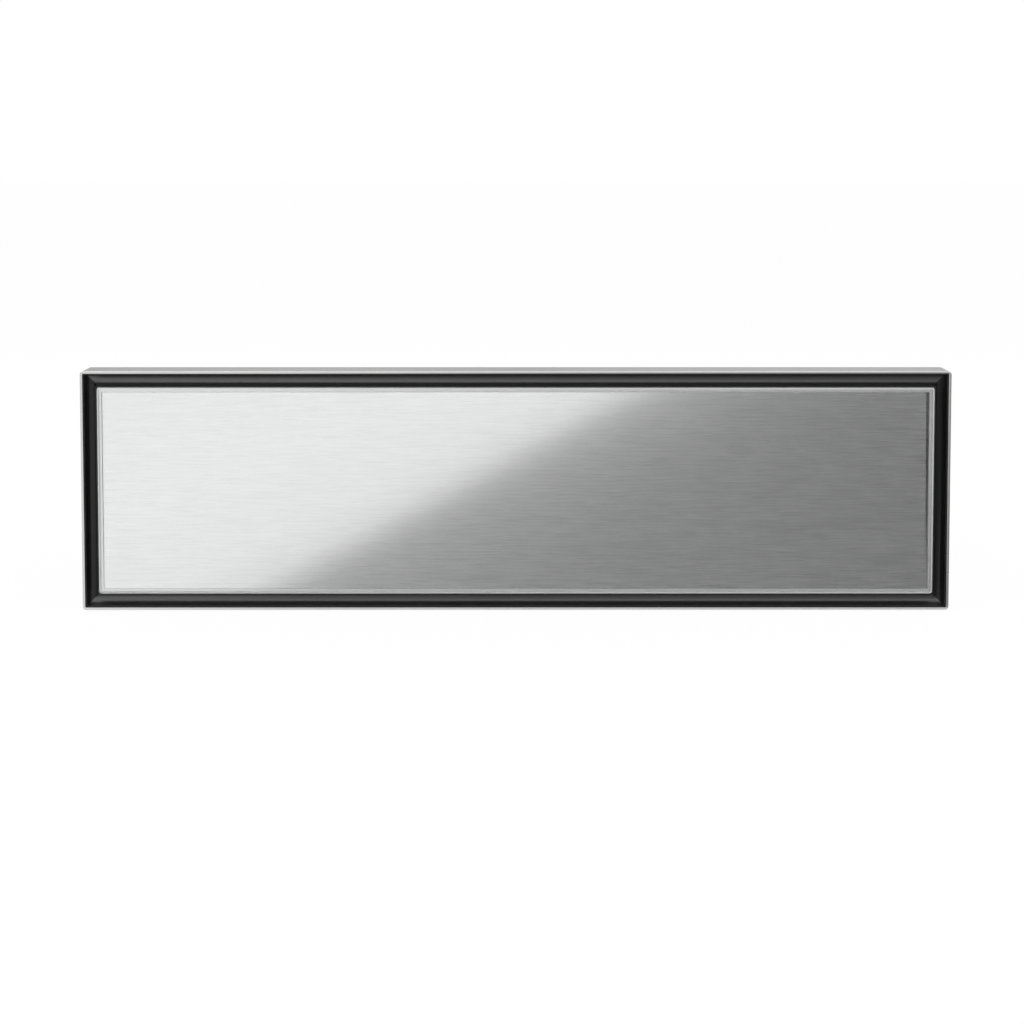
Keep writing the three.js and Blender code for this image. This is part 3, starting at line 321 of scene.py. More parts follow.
white_floor = bare_material("white_floor")
paint = add_node(white_floor, "BsdfDiffuse", Color=(floor_grey, floor_grey, floor_grey, 1))
glow = add_node(white_floor, "Emission", Strength=floor_glow)
shown = add_node(white_floor, "Math", [(0, seen_directly(white_floor))], operation="MULTIPLY")
shown.inputs[1].default_value = floor_glow_share
both_looks = [(0, shown.outputs[0]), (1, paint.outputs[0]), (2, glow.outputs[0])]
shine_out(white_floor, add_node(white_floor, "MixShader", both_looks))
half = floor_size / 2
studio_sheet("floor", white_floor, [(-half, -half, 0), (half, -half, 0), (half, half, 0), (-half, half, 0)])

room = bpy.data.worlds.new("room")
room.use_nodes = True
bpy.context.scene.world = room
lit = add_node(room, "MapRange", [("Value", seen_directly(room))], To_Min=room_light, To_Max=1.0)
wire(room, lit.outputs[0], "Strength", "Background")
room.node_tree.nodes["Background"].inputs["Color"].default_value = (1, 1, 1, 1)


def soft_lamp(name, place, target, width, height, power):
    """A large lamp with its middle at place, turned to a target."""
    panel = bpy.data.lights.new(name, "AREA")
    panel.shape = "RECTANGLE"
    panel.size = width
    panel.size_y = height
    panel.energy = power
    lamp = add_object(name, panel)
    lamp.location = place
    lamp.rotation_euler = (Vector(target) - Vector(place)).to_track_quat("-Z", "Y").to_euler()


soft_lamp("key_lamp", (-1.6, -1.9, 1.9), (0, -0.1, 0.1), 2.6, 1.9, 20)
soft_lamp("fill_lamp", (1.9, -1.4, 1.5), (0, -0.1, 0.1), 1.8, 1.4, 9)
soft_lamp("back_lamp", (0.3, 2.2, 2.0), (0, 0.1, 0.1), 2.4, 1.2, 12)


def studio_flag(name, finish, corners):
    """A sheet that only reflections and glass can see."""
    flag = studio_sheet(name, finish, corners)
    flag.visible_camera = flag.visible_diffuse = flag.visible_shadow = False


flag_grey = bare_material("grey_flag")
flag_place = add_node(flag_grey, "TexCoord").outputs["Object"]
flag_axes = add_node(flag_grey, "SeparateXYZ", [(0, flag_place)])
slant = add_node(flag_grey, "Math", [(0, flag_axes.outputs["Y"])], operation="MULTIPLY_ADD")
slant.inputs[1].default_value = -flag_slope
slant.inputs[2].default_value = -flag_start
beside = add_node(flag_grey, "Math", [(0, flag_axes.outputs["X"]), (1, slant.outputs[0])])
faded = add_node(flag_grey, "MapRange", [("Value", beside.outputs[0])],
                 From_Min=-flag_fade, From_Max=flag_last)
greys = add_node(flag_grey, "ValToRGB", [("Fac", faded.outputs[0])])
while len(greys.color_ramp.elements) < len(flag_tones):
    greys.color_ramp.elements.new(0.5)
for element, (distance, grey) in zip(greys.color_ramp.elements, flag_tones):
    element.position = (distance + flag_fade) / (flag_last + flag_fade)
    element.color = (grey, grey, grey, 1)
shine_out(flag_grey, add_node(flag_grey, "Emission", [("Color", greys.outputs["Color"])]))
near_x, far_x = (flag_start - flag_fade + y * flag_slope for y in (flag_near, -flag_reach))
studio_flag("floor_flag", flag_grey, [
    (near_x, flag_near, flag_lift), (far_x, -flag_reach, flag_lift),
    (flag_width, -flag_reach, flag_lift), (flag_width, flag_near, flag_lift),
])


def plain_flag(name, tone, corners):
    """A flag of one even grey."""
    card = bare_material(name)
    shine_out(card, add_node(card, "Emission", Color=(tone, tone, tone, 1)))
    studio_flag(name, card, corners)


for x, (label, tone) in zip((-side_flag_x, side_flag_x), side_flag_tones.items()):
    plain_flag(f"side_flag_{label}", tone, [
        (x, side_flag_front, 0), (x, side_flag_back, 0), (x, side_flag_back, side_flag_top),
        (x, side_flag_front, side_flag_top),
    ])
plain_flag("back_flag", back_flag_tone, [
    (-back_flag_x, back_flag_y, 0), (back_flag_x, back_flag_y, 0),
    (back_flag_x, back_flag_y, back_flag_top), (-back_flag_x, back_flag_y, back_flag_top),
])


# -------------------------------------------- housing sheets
# The galvanised steel case: base, sides, back, top, the ceiling over the drawer and the collar round its
# mouth. They are folded from 1.2 and 1.5 mm sheet, with slightly rounded edges, and the zinc shows spangle.
def soft_edges(node, width, steps=2):
    """Rounds a piece's edges and evens its shading."""
    node.data.shade_smooth()
    weld = node.modifiers.new("weld", "WELD")
    weld.merge_threshold = 0.002 * mm
    bevel = node.modifiers.new("bevel", "BEVEL")
    bevel.width = width
    bevel.segments = steps
    bevel.limit_method = "ANGLE"
    bevel.angle_limit = math.radians(35)
    even = node.modifiers.new("even", "WEIGHTED_NORMAL")
    even.weight = 60


def dress(finish, edge, *names):
    """Gives CAD nodes their material and rounds their edges."""
    for name in names:
        node = nodes[name]
        node.data.materials.clear()
        node.data.materials.append(finish)
        soft_edges(node, edge)


def both_sides(*names):
    return [f"{name}_{side}" for name in names for side in ("left", "right")]


galvanised = new_finish("galvanised_steel", (0.42, 0.44, 0.45), 0.42, 0.95)
zinc_place = add_node(galvanised, "TexCoord").outputs["Object"]
zinc_drift = add_node(galvanised, "TexNoise", [("Vector", zinc_place)], Scale=60.0)
drifted = add_node(galvanised, "VectorMath",
                   [(0, zinc_drift.outputs["Color"]), (2, zinc_place)], operation="MULTIPLY_ADD")
drifted.inputs[1].default_value = (0.008, 0.008, 0.008)
spangle = add_node(galvanised, "TexVoronoi", [("Vector", drifted.outputs[0])], Scale=120.0)
spangle_tone = add_node(galvanised, "RGBToBW", [("Color", spangle.outputs["Color"])]).outputs[0]
tint(galvanised, spangle_tone, (0.42, 0.435, 0.445), (0.49, 0.505, 0.51), 0.1, 0.9)
gloss(galvanised, spangle_tone, 0.38, 0.46)
relief(galvanised, grain(galvanised, 700), 0.01 * mm, 0.2)
dress(galvanised, 0.3 * mm, "front_collar", "base_panel", "top_panel", "rear_panel", "ceiling_plate",
      *both_sides("side_panel", "fixing_lug"))


# -------------------------------------------- housing screws
# Zinc-plated pan-head screws with a cross recess hold the sheets together; rivets hold the slides and lugs.
# One head is shaped and its recess cut, then copied to each place.
screw_radius = 3.2 * mm
screw_rise = 1.7 * mm
rivet_radius = 2.6 * mm
rivet_rise = 1.0 * mm
up, rearwards = (0, 0, 1), (0, 1, 0)
zinc_plate = grained("zinc_plate", 160, [(0.59, 0.61, 0.63), (0.66, 0.68, 0.70)], [0.27, 0.33], 1.0)


def turned(name, profile, sides, place=(0, 0, 0), axis=(0, 0, 1)):
    """A piece turned on an axis, its profile in (radius, height) from the axis back to the axis."""
    turn = Vector((0, 0, 1)).rotation_difference(Vector(axis)).to_matrix()
    return loft(name, [
        [turn @ Vector((radius * math.cos(angle), radius * math.sin(angle), height)) + Vector(place)
         for angle in round_angles(sides)]
        for radius, height in profile
    ])


def domed(radius, rise):
    """The profile of a low dome on a short straight edge, from its foot up to near the axis."""
    edge = 0.3 * rise
    arc = [(radius * math.cos(angle), edge + (rise - edge) * math.sin(angle))
           for angle in (step / 6 * math.pi / 2 for step in range(1, 6))]
    return [(radius, 0), (radius, edge), *arc]


def upright_block(name, low, high):
    """A plain block, for cutting or for a base to be bevelled."""
    (x0, y0, z0), (x1, y1, z1) = low, high
    loops = [[Vector((x, y, z)) for x, y in ((x0, y0), (x1, y0), (x1, y1), (x0, y1))] for z in (z0, z1)]
    return loft(name, loops)


def shaped_mesh(piece):
    """A mesh of a piece as it is with its modifiers, or of a curve's shape."""
    bpy.context.view_layer.update()
    return bpy.data.meshes.new_from_object(piece.evaluated_get(bpy.context.evaluated_depsgraph_get()))


def cut_away(piece, *tools):
    """Cuts the tools out of a piece and discards them."""
    for tool in tools:
        taken = piece.modifiers.new("cut", "BOOLEAN")
        taken.object = tool
        taken.operation = "DIFFERENCE"
        taken.solver = "EXACT"
    mesh = shaped_mesh(piece)
    piece.modifiers.clear()
    piece.data = mesh
    for tool in tools:
        bpy.data.objects.remove(tool)


def copied(name, pattern, places):
    """One piece made of a copy of the pattern at each (place, outward direction)."""
    points, faces = [], []
    for place, outward in places:
        turn = Vector((0, 0, 1)).rotation_difference(Vector(outward)).to_matrix()
        first = len(points)
        points += [tuple(turn @ vertex.co + Vector(place)) for vertex in pattern.data.vertices]
        faces += [[first + i for i in face.vertices] for face in pattern.data.polygons]
    mesh = bpy.data.meshes.new(name)
    mesh.from_pydata(points, [], faces)
    mesh.shade_smooth()
    mesh.set_sharp_from_angle(angle=math.radians(35))
    return add_object(name, mesh)


def fasten(name, head, places, body="housing", finish=zinc_plate, slot="zinc_plated_steel"):
    """Sets a copy of a head at each (place, outward direction)."""
    fit(copied(name, head, places), finish, body, slot)


screw_head = turned("screw_head", domed(screw_radius, screw_rise), 28)
recess_half, recess_width, recess_floor, recess_top = 1.75 * mm, 0.38 * mm, 0.6 * mm, 3 * mm
cut_away(screw_head, *(
    upright_block(f"recess_{axis}", (-half_x, -half_y, recess_floor), (half_x, half_y, recess_top))
    for axis, half_x, half_y in (("x", recess_half, recess_width), ("y", recess_width, recess_half))
))
rivet_head = turned("rivet_head", domed(rivet_radius, rivet_rise), 24)

side_step = 1.5 * mm
case_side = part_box("base_panel")[1].x + side_step
rear_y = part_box("rear_panel")[1].y
top_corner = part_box("top_panel")[1]
flange_inset = 8 * mm
top_screws_y = (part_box("side_panel_left")[0].y + 24 * mm, -30 * mm, 110 * mm, rear_y - 22 * mm)
top_screws_x = (-270 * mm, -130 * mm, 10 * mm, 150 * mm, 290 * mm)
side_screws_z = (28 * mm, 84 * mm, 140 * mm)
slide_low, slide_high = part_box("slide_outer_right")
slide_z = (slide_low.z + slide_high.z) / 2
slide_rivets_y = [slide_low.y + (slide_high.y - slide_low.y) * share for share in (0.12, 0.42, 0.62, 0.92)]
lug_low, lug_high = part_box("fixing_lug_right")
lug_rivets_z = (lug_low.z + 8 * mm, lug_high.z - 8 * mm)
lug_rivets_y = lug_low.y + 10 * mm
case_screws, case_rivets = [], []
for side in (-1, 1):
    sideways = (side, 0, 0)
    case_screws += [((side * (case_side - flange_inset), y, top_corner.z), up) for y in top_screws_y]
    case_screws += [((side * case_side, rear_y - flange_inset, z), sideways) for z in side_screws_z]
    case_rivets += [((side * case_side, y, slide_z), sideways) for y in slide_rivets_y]
    case_rivets += [((side * (case_side + side_step), lug_rivets_y, z), sideways) for z in lug_rivets_z]
case_screws += [((x, top_corner.y, top_corner.z - 12 * mm), rearwards) for x in top_screws_x]
fasten("housing_screws", screw_head, case_screws)
fasten("housing_rivets", rivet_head, case_rivets)


# -------------------------------------------- insulation
# Pressed mineral-wool boards over the ceiling, under the drawer's base and behind the panel: matted beige
# fibre with darker specks of binder. They are cut square and laid in between the sheets.
mineral_wool = new_finish("mineral_wool", (0.60, 0.52, 0.32), 0.95, Specular_IOR_Level=0.1)
wool_fibre = grain(mineral_wool, 500, (1, 1, 6), detail=6, roughness=0.7)
tint(mineral_wool, wool_fibre, (0.42, 0.35, 0.19), (0.72, 0.65, 0.44))
relief(mineral_wool, wool_fibre, 0.8 * mm, 0.8)
dress(mineral_wool, 0.4 * mm, "top_insulation", "base_insulation", "front_insulation")


# -------------------------------------------- feet
# Four turned feet of black rubber, pressed on under the base: a rounded tread with a hollow and a groove,
# and a narrower neck against the sheet.
rubber = grained("foot_rubber", 1200, [(0.014, 0.014, 0.015), (0.03, 0.03, 0.032)], [0.8],
                 rise=0.08 * mm, Specular_IOR_Level=0.3)
near_axis = 0.05 * mm
foot_hollow = 0.6 * mm
foot_groove = 0.5 * mm
for name in both_sides("foot_front", "foot_rear"):
    low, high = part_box(name)
    radius, rise = (high.x - low.x) / 2, high.z - low.z
    profile = [
        (near_axis, foot_hollow), (0.30 * radius, foot_hollow), (0.33 * radius, 0), (0.58 * radius, 0),
        (0.60 * radius, foot_groove), (0.66 * radius, foot_groove), (0.68 * radius, 0), (0.90 * radius, 0),
        (0.96 * radius, 0.06 * rise), (0.99 * radius, 0.15 * rise), (radius, 0.3 * rise),
        (0.98 * radius, 0.55 * rise), (0.93 * radius, 0.62 * rise), (0.92 * radius, rise),
        (near_axis, rise),
    ]
    tread = turned(f"{name}_tread", profile, 48, ((low.x + high.x) / 2, (low.y + high.y) / 2, low.z))
    fit(tread, rubber, "housing", "black_rubber", name)


# -------------------------------------------- telescopic slides
# Three nested channels a side, rolled from zinc-plated steel. Two pairs of ball cages run between them:
# stamped strips with a row of polished balls along each leg.
dress(zinc_plate, 0.15 * mm, *both_sides("slide_outer", "slide_middle", "slide_inner"))

ball_radius = 2.5 * mm
strip = 0.6 * mm
ball_spacing = 18 * mm
ball_clearance = 0.1 * mm
cage_steel = grained("cage_steel", 300, [(0.52, 0.52, 0.50)], [0.2, 0.36], 1.0)
polished_steel = grained("ball_steel", 900, [(0.72, 0.72, 0.73)], [0.05, 0.12], 1.0)


def ball_cage(name):
    """A U-shaped strip the size of the CAD cage, and a finer row of balls in each of its legs."""
    low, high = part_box(name)
    side = 1 if low.x > 0 else -1
    web, tip = (high.x, low.x) if side > 0 else (low.x, high.x)
    leg = (high.z - low.z) / 2 - ball_radius
    level = (low.z + high.z) / 2
    outer, inner = leg + strip / 2, leg - strip / 2
    section = [
        (tip, -outer), (tip, -inner), (web - side * strip, -inner), (web - side * strip, inner),
        (tip, inner), (tip, outer), (web, outer), (web, -outer),
    ]
    bent = [[Vector((x, y, level + z)) for x, z in section] for y in (low.y, high.y)]
    fit(loft(f"{name}_strip", bent), cage_steel, name, "cage_steel", name)
    count = int((high.y - low.y) / ball_spacing)
    x = tip + side * (ball_radius + ball_clearance)
    first = (low.y + high.y) / 2 - ball_spacing * (count - 1) / 2
    spots = [(x, first + i * ball_spacing, level + z) for z in (-leg, leg) for i in range(count)]
    fasten(f"{name}_balls", ball, [(spot, up) for spot in spots], name, polished_steel, "cage_steel")


ball = turned("ball", [
    (ball_radius * math.sin(angle) + 0.001 * mm, -ball_radius * math.cos(angle))
    for angle in (math.pi * step / 12 for step in range(13))
], 18)
for name in both_sides("cage_outer", "cage_inner"):
    ball_cage(name)
bpy.data.objects.remove(ball)


# -------------------------------------------- push latches
# Two moulded latch bodies screwed to the base behind the drawer. A spring inside each drives a white
# plunger, whose rounded head pushes the drawer open.
black_plastic = grained("black_plastic", 2500, [(0.016, 0.016, 0.018), (0.03, 0.03, 0.032)], [0.42, 0.56],
                        rise=0.03 * mm)
white_plastic = grained("white_plastic", 400, [(0.70, 0.69, 0.65), (0.78, 0.77, 0.73)], [0.42],
                        rise=0.02 * mm, rise_scale=3000)
dress(black_plastic, 0.4 * mm, *both_sides("push_latch"))

plunger_rod = 5 * mm
plunger_flange = 3 * mm
for side in ("left", "right"):
    name = f"plunger_{side}"
    low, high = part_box(name)
    head, length = (high.x - low.x) / 2, high.y - low.y
    profile = [
        (near_axis, 0), (0.55 * head, 0.05 * mm), (0.85 * head, 0.35 * mm), (0.96 * head, 0.7 * mm),
        (head, 1.2 * mm), (head, plunger_flange - 0.4 * mm), (head - 0.4 * mm, plunger_flange),
        (plunger_rod + 0.6 * mm, plunger_flange), (plunger_rod, plunger_flange + 0.6 * mm),
        (plunger_rod, length - 1 * mm), (plunger_rod - 0.3 * mm, length - 0.3 * mm),
        (plunger_rod - 1 * mm, length), (near_axis, length),
    ]
    head_middle = ((low.x + high.x) / 2, low.y, (low.z + high.z) / 2)
    pin = turned(f"{name}_pin", profile, 40, head_middle, rearwards)
    fit(pin, white_plastic, name, "white_plastic", name)
latch_low, latch_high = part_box("push_latch_right")
latch_middle = middle("push_latch_right")
latch_screw_x = (latch_high.x - latch_low.x) / 2 * 0.82
latch_foot = latch_low.z + 3 * mm
fasten("latch_screws", screw_head, [
    ((side * latch_middle.x + offset * latch_screw_x, latch_middle.y, latch_foot), up)
    for side in (-1, 1) for offset in (-1, 1)
])


# -------------------------------------------- mains inlet, terminal box
# A moulded three-pin inlet sits recessed in the back and is held by two screws. Behind it a grey terminal
# box with a lipped lid takes the wires; nickel sleeves cover the inlet's pins.
dress(black_plastic, 0.3 * mm, "mains_inlet")
inlet_middle = middle("mains_inlet")
inlet_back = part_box("mains_inlet")[1].y
nickel = grained("nickel_pin", 500, [(0.66, 0.63, 0.57)], [0.16, 0.3], 1.0)
pin_grow = 0.08 * mm
pin_half_x, pin_half_z = 1.0 * mm + pin_grow, 2.0 * mm + pin_grow
pin_root, pin_tip = inlet_back - 13.9 * mm, inlet_back - 4.4 * mm
pin_places = {"left": (-7 * mm, -1 * mm), "earth": (0, 3 * mm), "right": (7 * mm, -1 * mm)}
for label, (aside, above) in pin_places.items():
    x, z = inlet_middle.x + aside, inlet_middle.z + above
    sleeve = upright_block(f"inlet_pin_{label}", (x - pin_half_x, pin_root, z - pin_half_z),
                           (x + pin_half_x, pin_tip, z + pin_half_z))
    soft_edges(sleeve, 0.35 * mm, 3)
    fit(sleeve, nickel, "housing", "zinc_plated_steel")
inlet_screw_x, inlet_screw_sunk = 19 * mm, 0.2 * mm
fasten("inlet_screws", screw_head, [
    ((inlet_middle.x + side * inlet_screw_x, inlet_back - inlet_screw_sunk, inlet_middle.z), rearwards)
    for side in (-1, 1)
])

grey_plastic = grained("grey_plastic", 1800, [(0.27, 0.28, 0.29), (0.33, 0.34, 0.35)], [0.5],
                       rise=0.03 * mm)
dress(grey_plastic, 0.6 * mm, "terminal_box")
dress(grey_plastic, 0.5 * mm, "lead_clamp")
terminal_low, terminal_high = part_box("terminal_box")
terminal_screws_x = (terminal_low.x + 8 * mm, terminal_high.x - 8 * mm)
terminal_y = (terminal_low.y + terminal_high.y) / 2
fasten("terminal_screws", screw_head, [((x, terminal_y, terminal_high.z), up) for x in terminal_screws_x])


# -------------------------------------------- drawer box
# Sides, back and inner front of satin stainless sheet, brushed from side to side, with a galvanised pan
# below. Pan-head screws join them and hold the front to its two brackets.
def brushed_steel(name, dark, light, roughness, streak=40 * mm, line=0.6 * mm):
    """Steel with fine streaks from side to side, in its colour and in its gloss."""
    made = new_finish(name, light, roughness, 1.0, Anisotropic=0.3)
    stretch = (1, streak / line, streak / line)
    fine = grain(made, 1 / streak, stretch)
    broad = grain(made, 0.25 / streak, stretch, detail=2)
    both = add_node(made, "Mix", [("A", fine), ("B", broad)], Factor=0.35)
    tint(made, both.outputs["Result"], dark, light)
    gloss(made, both.outputs["Result"], roughness * 1.12, roughness * 0.88)
    relief(made, fine, 0.004 * mm, 0.25)
    return made


stainless = brushed_steel("stainless_steel", (0.50, 0.50, 0.495), (0.62, 0.62, 0.615), 0.3)
dress(stainless, 0.3 * mm, "inner_front", "drawer_back", "control_ledge", *both_sides("drawer_side"))
dress(galvanised, 0.3 * mm, "under_pan", "front_core", *both_sides("front_bracket"))

back_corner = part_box("drawer_back")[1]
back_screws_x = back_corner.x - 9 * mm
back_screws_z = (30 * mm, 66 * mm, 100 * mm)
bracket_low, bracket_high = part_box("front_bracket_right")
bracket_screws_x = bracket_low.x + 10 * mm
bracket_face = bracket_low.y + 1.2 * mm
bracket_screws_z = (bracket_low.z + 10 * mm, bracket_high.z - 10 * mm)
drawer_screws = []
for side in (-1, 1):
    drawer_screws += [((side * back_screws_x, back_corner.y, z), rearwards) for z in back_screws_z]
    drawer_screws += [((side * bracket_screws_x, bracket_face, z), rearwards) for z in bracket_screws_z]
fasten("drawer_screws", screw_head, drawer_screws, "drawer")


# -------------------------------------------- heater
# A bright aluminium tray throws the heat up from a sheathed element, bent to and fro in eight runs under
# the glass. A ceramic thermostat presses against the middle of the glass.
aluminium = brushed_steel("aluminium", (0.60, 0.605, 0.61), (0.74, 0.745, 0.75), 0.26, streak=60 * mm)
dress(aluminium, 0.2 * mm, "heat_reflector")
ceramic = grained("white_ceramic", 600, [(0.72, 0.70, 0.65), (0.84, 0.82, 0.78)], [0.6],
                  rise=0.05 * mm, rise_scale=2000)
dress(ceramic, 0.4 * mm, "glass_thermostat")

sheath = grained("element_sheath", 250, [(0.06, 0.055, 0.052), (0.15, 0.135, 0.12)], [0.4, 0.62],
                 0.85, detail=5)
element_runs = 8
element_pitch = 46 * mm
element_low, element_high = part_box("heating_element")
element_radius = (element_high.z - element_low.z) / 2
element_level = element_low.z + element_radius
element_end = -element_low.x
element_first = element_low.y + element_radius
turn_radius = element_pitch / 2
turn_x = element_end - turn_radius
element_last = element_first + (element_runs - 1) * element_pitch
element_path = [Vector((-element_end, element_first, element_level))]
for run in range(element_runs - 1):
    side = -1 if run % 2 else 1
    y = element_first + (run + 0.5) * element_pitch
    element_path += quarter_arc(side * turn_x, y, element_level, turn_radius, -1, 1 if side > 0 else -3, 24)
element_path.append(Vector((-element_end, element_last, element_level)))
element = round_rod("element_tube", spaced_out(element_path, 12 * mm), element_radius, 20)
fit(element, sheath, "drawer", "element_sheath", "heating_element")


# -------------------------------------------- cavity tray
# The tray is drawn from one stainless sheet: a flat rim, steep walls with a little draft, rounded corners
# and a floor whose wide window takes the glass. It hangs by its rim on the drawer's sides.
tray_low, tray_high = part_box("cavity_tray")
tray_middle = middle("cavity_tray")
tray_half = (tray_high - tray_low) / 2
tray_sheet = 1 * mm
tray_rim = 23 * mm
tray_corner = 20 * mm
tray_draft = 2.4 * mm
tray_fillet = 3 * mm
tray_window = 45 * mm
tray_floor = tray_low.z + tray_sheet


def rounded_loop(half_a, half_b, radius, steps):
    """Points round a rectangle with rounded corners, in its own two directions."""
    points = []
    for corner in range(4):
        a = (1 if corner in (0, 3) else -1) * (half_a - radius)
        b = (1 if corner < 2 else -1) * (half_b - radius)
        for step in range(steps + 1):
            angle = (corner + (step / steps if steps else 0.5)) * math.pi / 2
            points.append((a + radius * math.cos(angle), b + radius * math.sin(angle)))
    return points


def tray_loop(margin, z, radius=None):
    """A loop round the cavity, at a margin inside the rim's outer edge."""
    if radius is None:
        radius = 3 * mm if margin < tray_rim - 2 * mm else max(tray_corner - (margin - tray_rim), 2 * mm)
    return [Vector((tray_middle.x + x, tray_middle.y + y, z))
            for x, y in rounded_loop(tray_half.x - margin, tray_half.y - margin, radius, 10)]


def round_bend(start, end, bulge, steps=4):
    """(margin, height) pairs round a quarter bend, from start to end, with its corner at bulge."""
    return [
        tuple((1 - t) ** 2 * a + 2 * t * (1 - t) * c + t ** 2 * b for a, c, b in zip(start, bulge, end))
        for t in (step / steps for step in range(steps + 1))
    ]


def tray_section():
    """The tray's section, out along its upper face and back along its lower one."""
    top, foot, floor_z = tray_high.z, tray_rim + tray_draft, tray_floor
    edge = 1.2 * mm
    upper = [(0.0, top - 0.15 * mm), (0.15 * mm, top)]
    upper += round_bend((tray_rim - edge, top), (tray_rim, top - edge), (tray_rim, top))
    upper += round_bend((foot, floor_z + tray_fillet), (foot + tray_fillet, floor_z), (foot, floor_z), 6)
    upper += [(tray_window - 0.1 * mm, floor_z), (tray_window, floor_z - 0.1 * mm)]
    below, beside = floor_z - tray_sheet, foot - tray_sheet
    lower = [(tray_window, below)]
    lower += round_bend((foot + tray_fillet, below), (beside, floor_z + tray_fillet), (beside, below), 6)
    lower += round_bend((tray_rim - tray_sheet, top - tray_sheet - 0.4 * mm),
                        (tray_rim - tray_sheet - 0.4 * mm, top - tray_sheet),
                        (tray_rim - tray_sheet, top - tray_sheet), 2)
    lower.append((0.0, top - tray_sheet))
    return upper + lower


tray = loft("tray_shell", [tray_loop(margin, z) for margin, z in tray_section()], capped=False)
fit(tray, stainless, "drawer", "stainless_steel", "cavity_tray")
tray_screw_x, tray_screw_y = tray_half.x - 10 * mm, tray_half.y - 10 * mm
tray_screw_z = tray_high.z - 0.1 * mm
low_head_rise = 0.9 * mm
low_head = turned("low_head", domed(screw_radius, low_head_rise), 28)
fasten("tray_screws", low_head, [
    ((tray_middle.x + a * tray_screw_x, tray_middle.y + b * tray_screw_y, tray_screw_z), up)
    for a in (-1, 1) for b in (-1, 0, 1)
], "drawer", stainless, "stainless_steel")


# -------------------------------------------- glass base
# Black toughened glass with ground edges lies on a grey silicone seal in the tray's floor. A thin border
# line and two rings over the thermostat are printed on it.
base_low, base_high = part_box("glass_base")
base_half = (base_high - base_low) / 2
base_margin = tray_half.x - base_half.x
base_chamfer = 0.6 * mm
seal_low, seal_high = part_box("base_seal")
seal_sheet = 1.7 * mm
gap = 0.3 * mm

silicone = grained("grey_silicone", 900, [(0.085, 0.085, 0.09), (0.12, 0.12, 0.126)], [0.72],
                   rise=0.04 * mm, Specular_IOR_Level=0.35)
seal_wall = tray_rim + tray_draft
seal_section = [
    (seal_wall + tray_fillet + gap, seal_low.z), (seal_wall + tray_fillet, seal_low.z + 2.5 * mm),
    (seal_wall + 0.5 * mm, seal_low.z + 4.2 * mm), (seal_wall + 0.45 * mm, seal_high.z - 0.5 * mm),
    (seal_wall + 0.9 * mm, seal_high.z), (base_margin - gap - 0.6 * mm, seal_high.z),
    (base_margin - gap, seal_high.z - 0.6 * mm), (base_margin - gap, seal_low.z + seal_sheet),
    (tray_window - 1 * mm, seal_low.z + seal_sheet), (tray_window - 1 * mm, seal_low.z),
]
seal = loft("seal_strip", [tray_loop(margin, z) for margin, z in seal_section], capped=False)
fit(seal, silicone, "drawer", "grey_silicone", "base_seal")

black_glass = grained("black_glass", 60, [(0.008, 0.008, 0.009)], [0.04, 0.09], IOR=1.5)
glass_section = [
    (base_margin + base_chamfer, base_low.z), (base_margin, base_low.z + base_chamfer),
    (base_margin, base_high.z - base_chamfer), (base_margin + 0.2 * mm, base_high.z - 0.25 * mm),
    (base_margin + base_chamfer, base_high.z),
]
base_glass = loft("base_glass_sheet", [tray_loop(margin, z) for margin, z in glass_section], sharp=20)
fit(base_glass, black_glass, "drawer", "black_glass", "glass_base")

enamel = grained("grey_enamel", 1500, [(0.30, 0.30, 0.31), (0.38, 0.38, 0.39)], [0.35])
print_rise = 0.06 * mm


def printed_band(name, outer, inner, z):
    """A flat band between two loops of the same count, as thick as screen print."""
    lift = Vector((0, 0, print_rise))
    low_outer, low_inner = [p.copy() for p in outer], [p.copy() for p in inner]
    for p in low_outer + low_inner:
        p.z = z
    return loft(name, [low_outer, [p + lift for p in low_outer], [p + lift for p in low_inner], low_inner],
                capped=False, sharp=20)


border = 16 * mm
border_line = 1.0 * mm
border_print = printed_band(
    "border_print", tray_loop(base_margin + border, 0, 12 * mm),
    tray_loop(base_margin + border + border_line, 0, 11 * mm), base_high.z,
)
fit(border_print, enamel, "drawer", "black_glass")


def circle(x, y, radius):
    return quarter_arc(x, y, 0, radius, 0, 4, 64)[:-1]


sensor_line = 0.8 * mm
for label, radius in (("outer", 14 * mm), ("inner", 9 * mm)):
    ring = printed_band(f"sensor_print_{label}", circle(0, tray_middle.y, radius),
                        circle(0, tray_middle.y, radius - sensor_line), base_high.z)
    fit(ring, enamel, "drawer", "black_glass")


# -------------------------------------------- controls
# The ledge behind the front carries a heat selector with a fluted knob, a sprung power button and an amber
# pilot lens. Numbers, ON / OFF and a ring round the button are printed on the steel.
dress(white_plastic, 0.4 * mm, "selector_switch", "power_switch")
board_green = grained("circuit_board", 350, [(0.016, 0.11, 0.05), (0.026, 0.16, 0.075)], [0.4])
dress(board_green, 0.1 * mm, "control_board")

ledge_top = tray_high.z
knob_low, knob_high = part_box("control_knob")
knob_radius = (knob_high.x - knob_low.x) / 2
knob_x, knob_y = knob_low.x + knob_radius, (knob_low.y + knob_high.y) / 2
knob_foot = ledge_top + gap
knob_height = 13.5 * mm
knob_skirt = 2.4 * mm
knob_lobes = 12
grip_radius = knob_radius - 3.2 * mm
knob_sides = 144


def knob_loop(radius, lobe, height):
    """One loop round the knob; its lobes stand out by lobe."""
    loop = []
    for angle in round_angles(knob_sides):
        reach = radius + lobe * math.cos(knob_lobes * angle)
        x, y = knob_x + reach * math.cos(angle), knob_y + reach * math.sin(angle)
        loop.append(Vector((x, y, knob_foot + height)))
    return loop


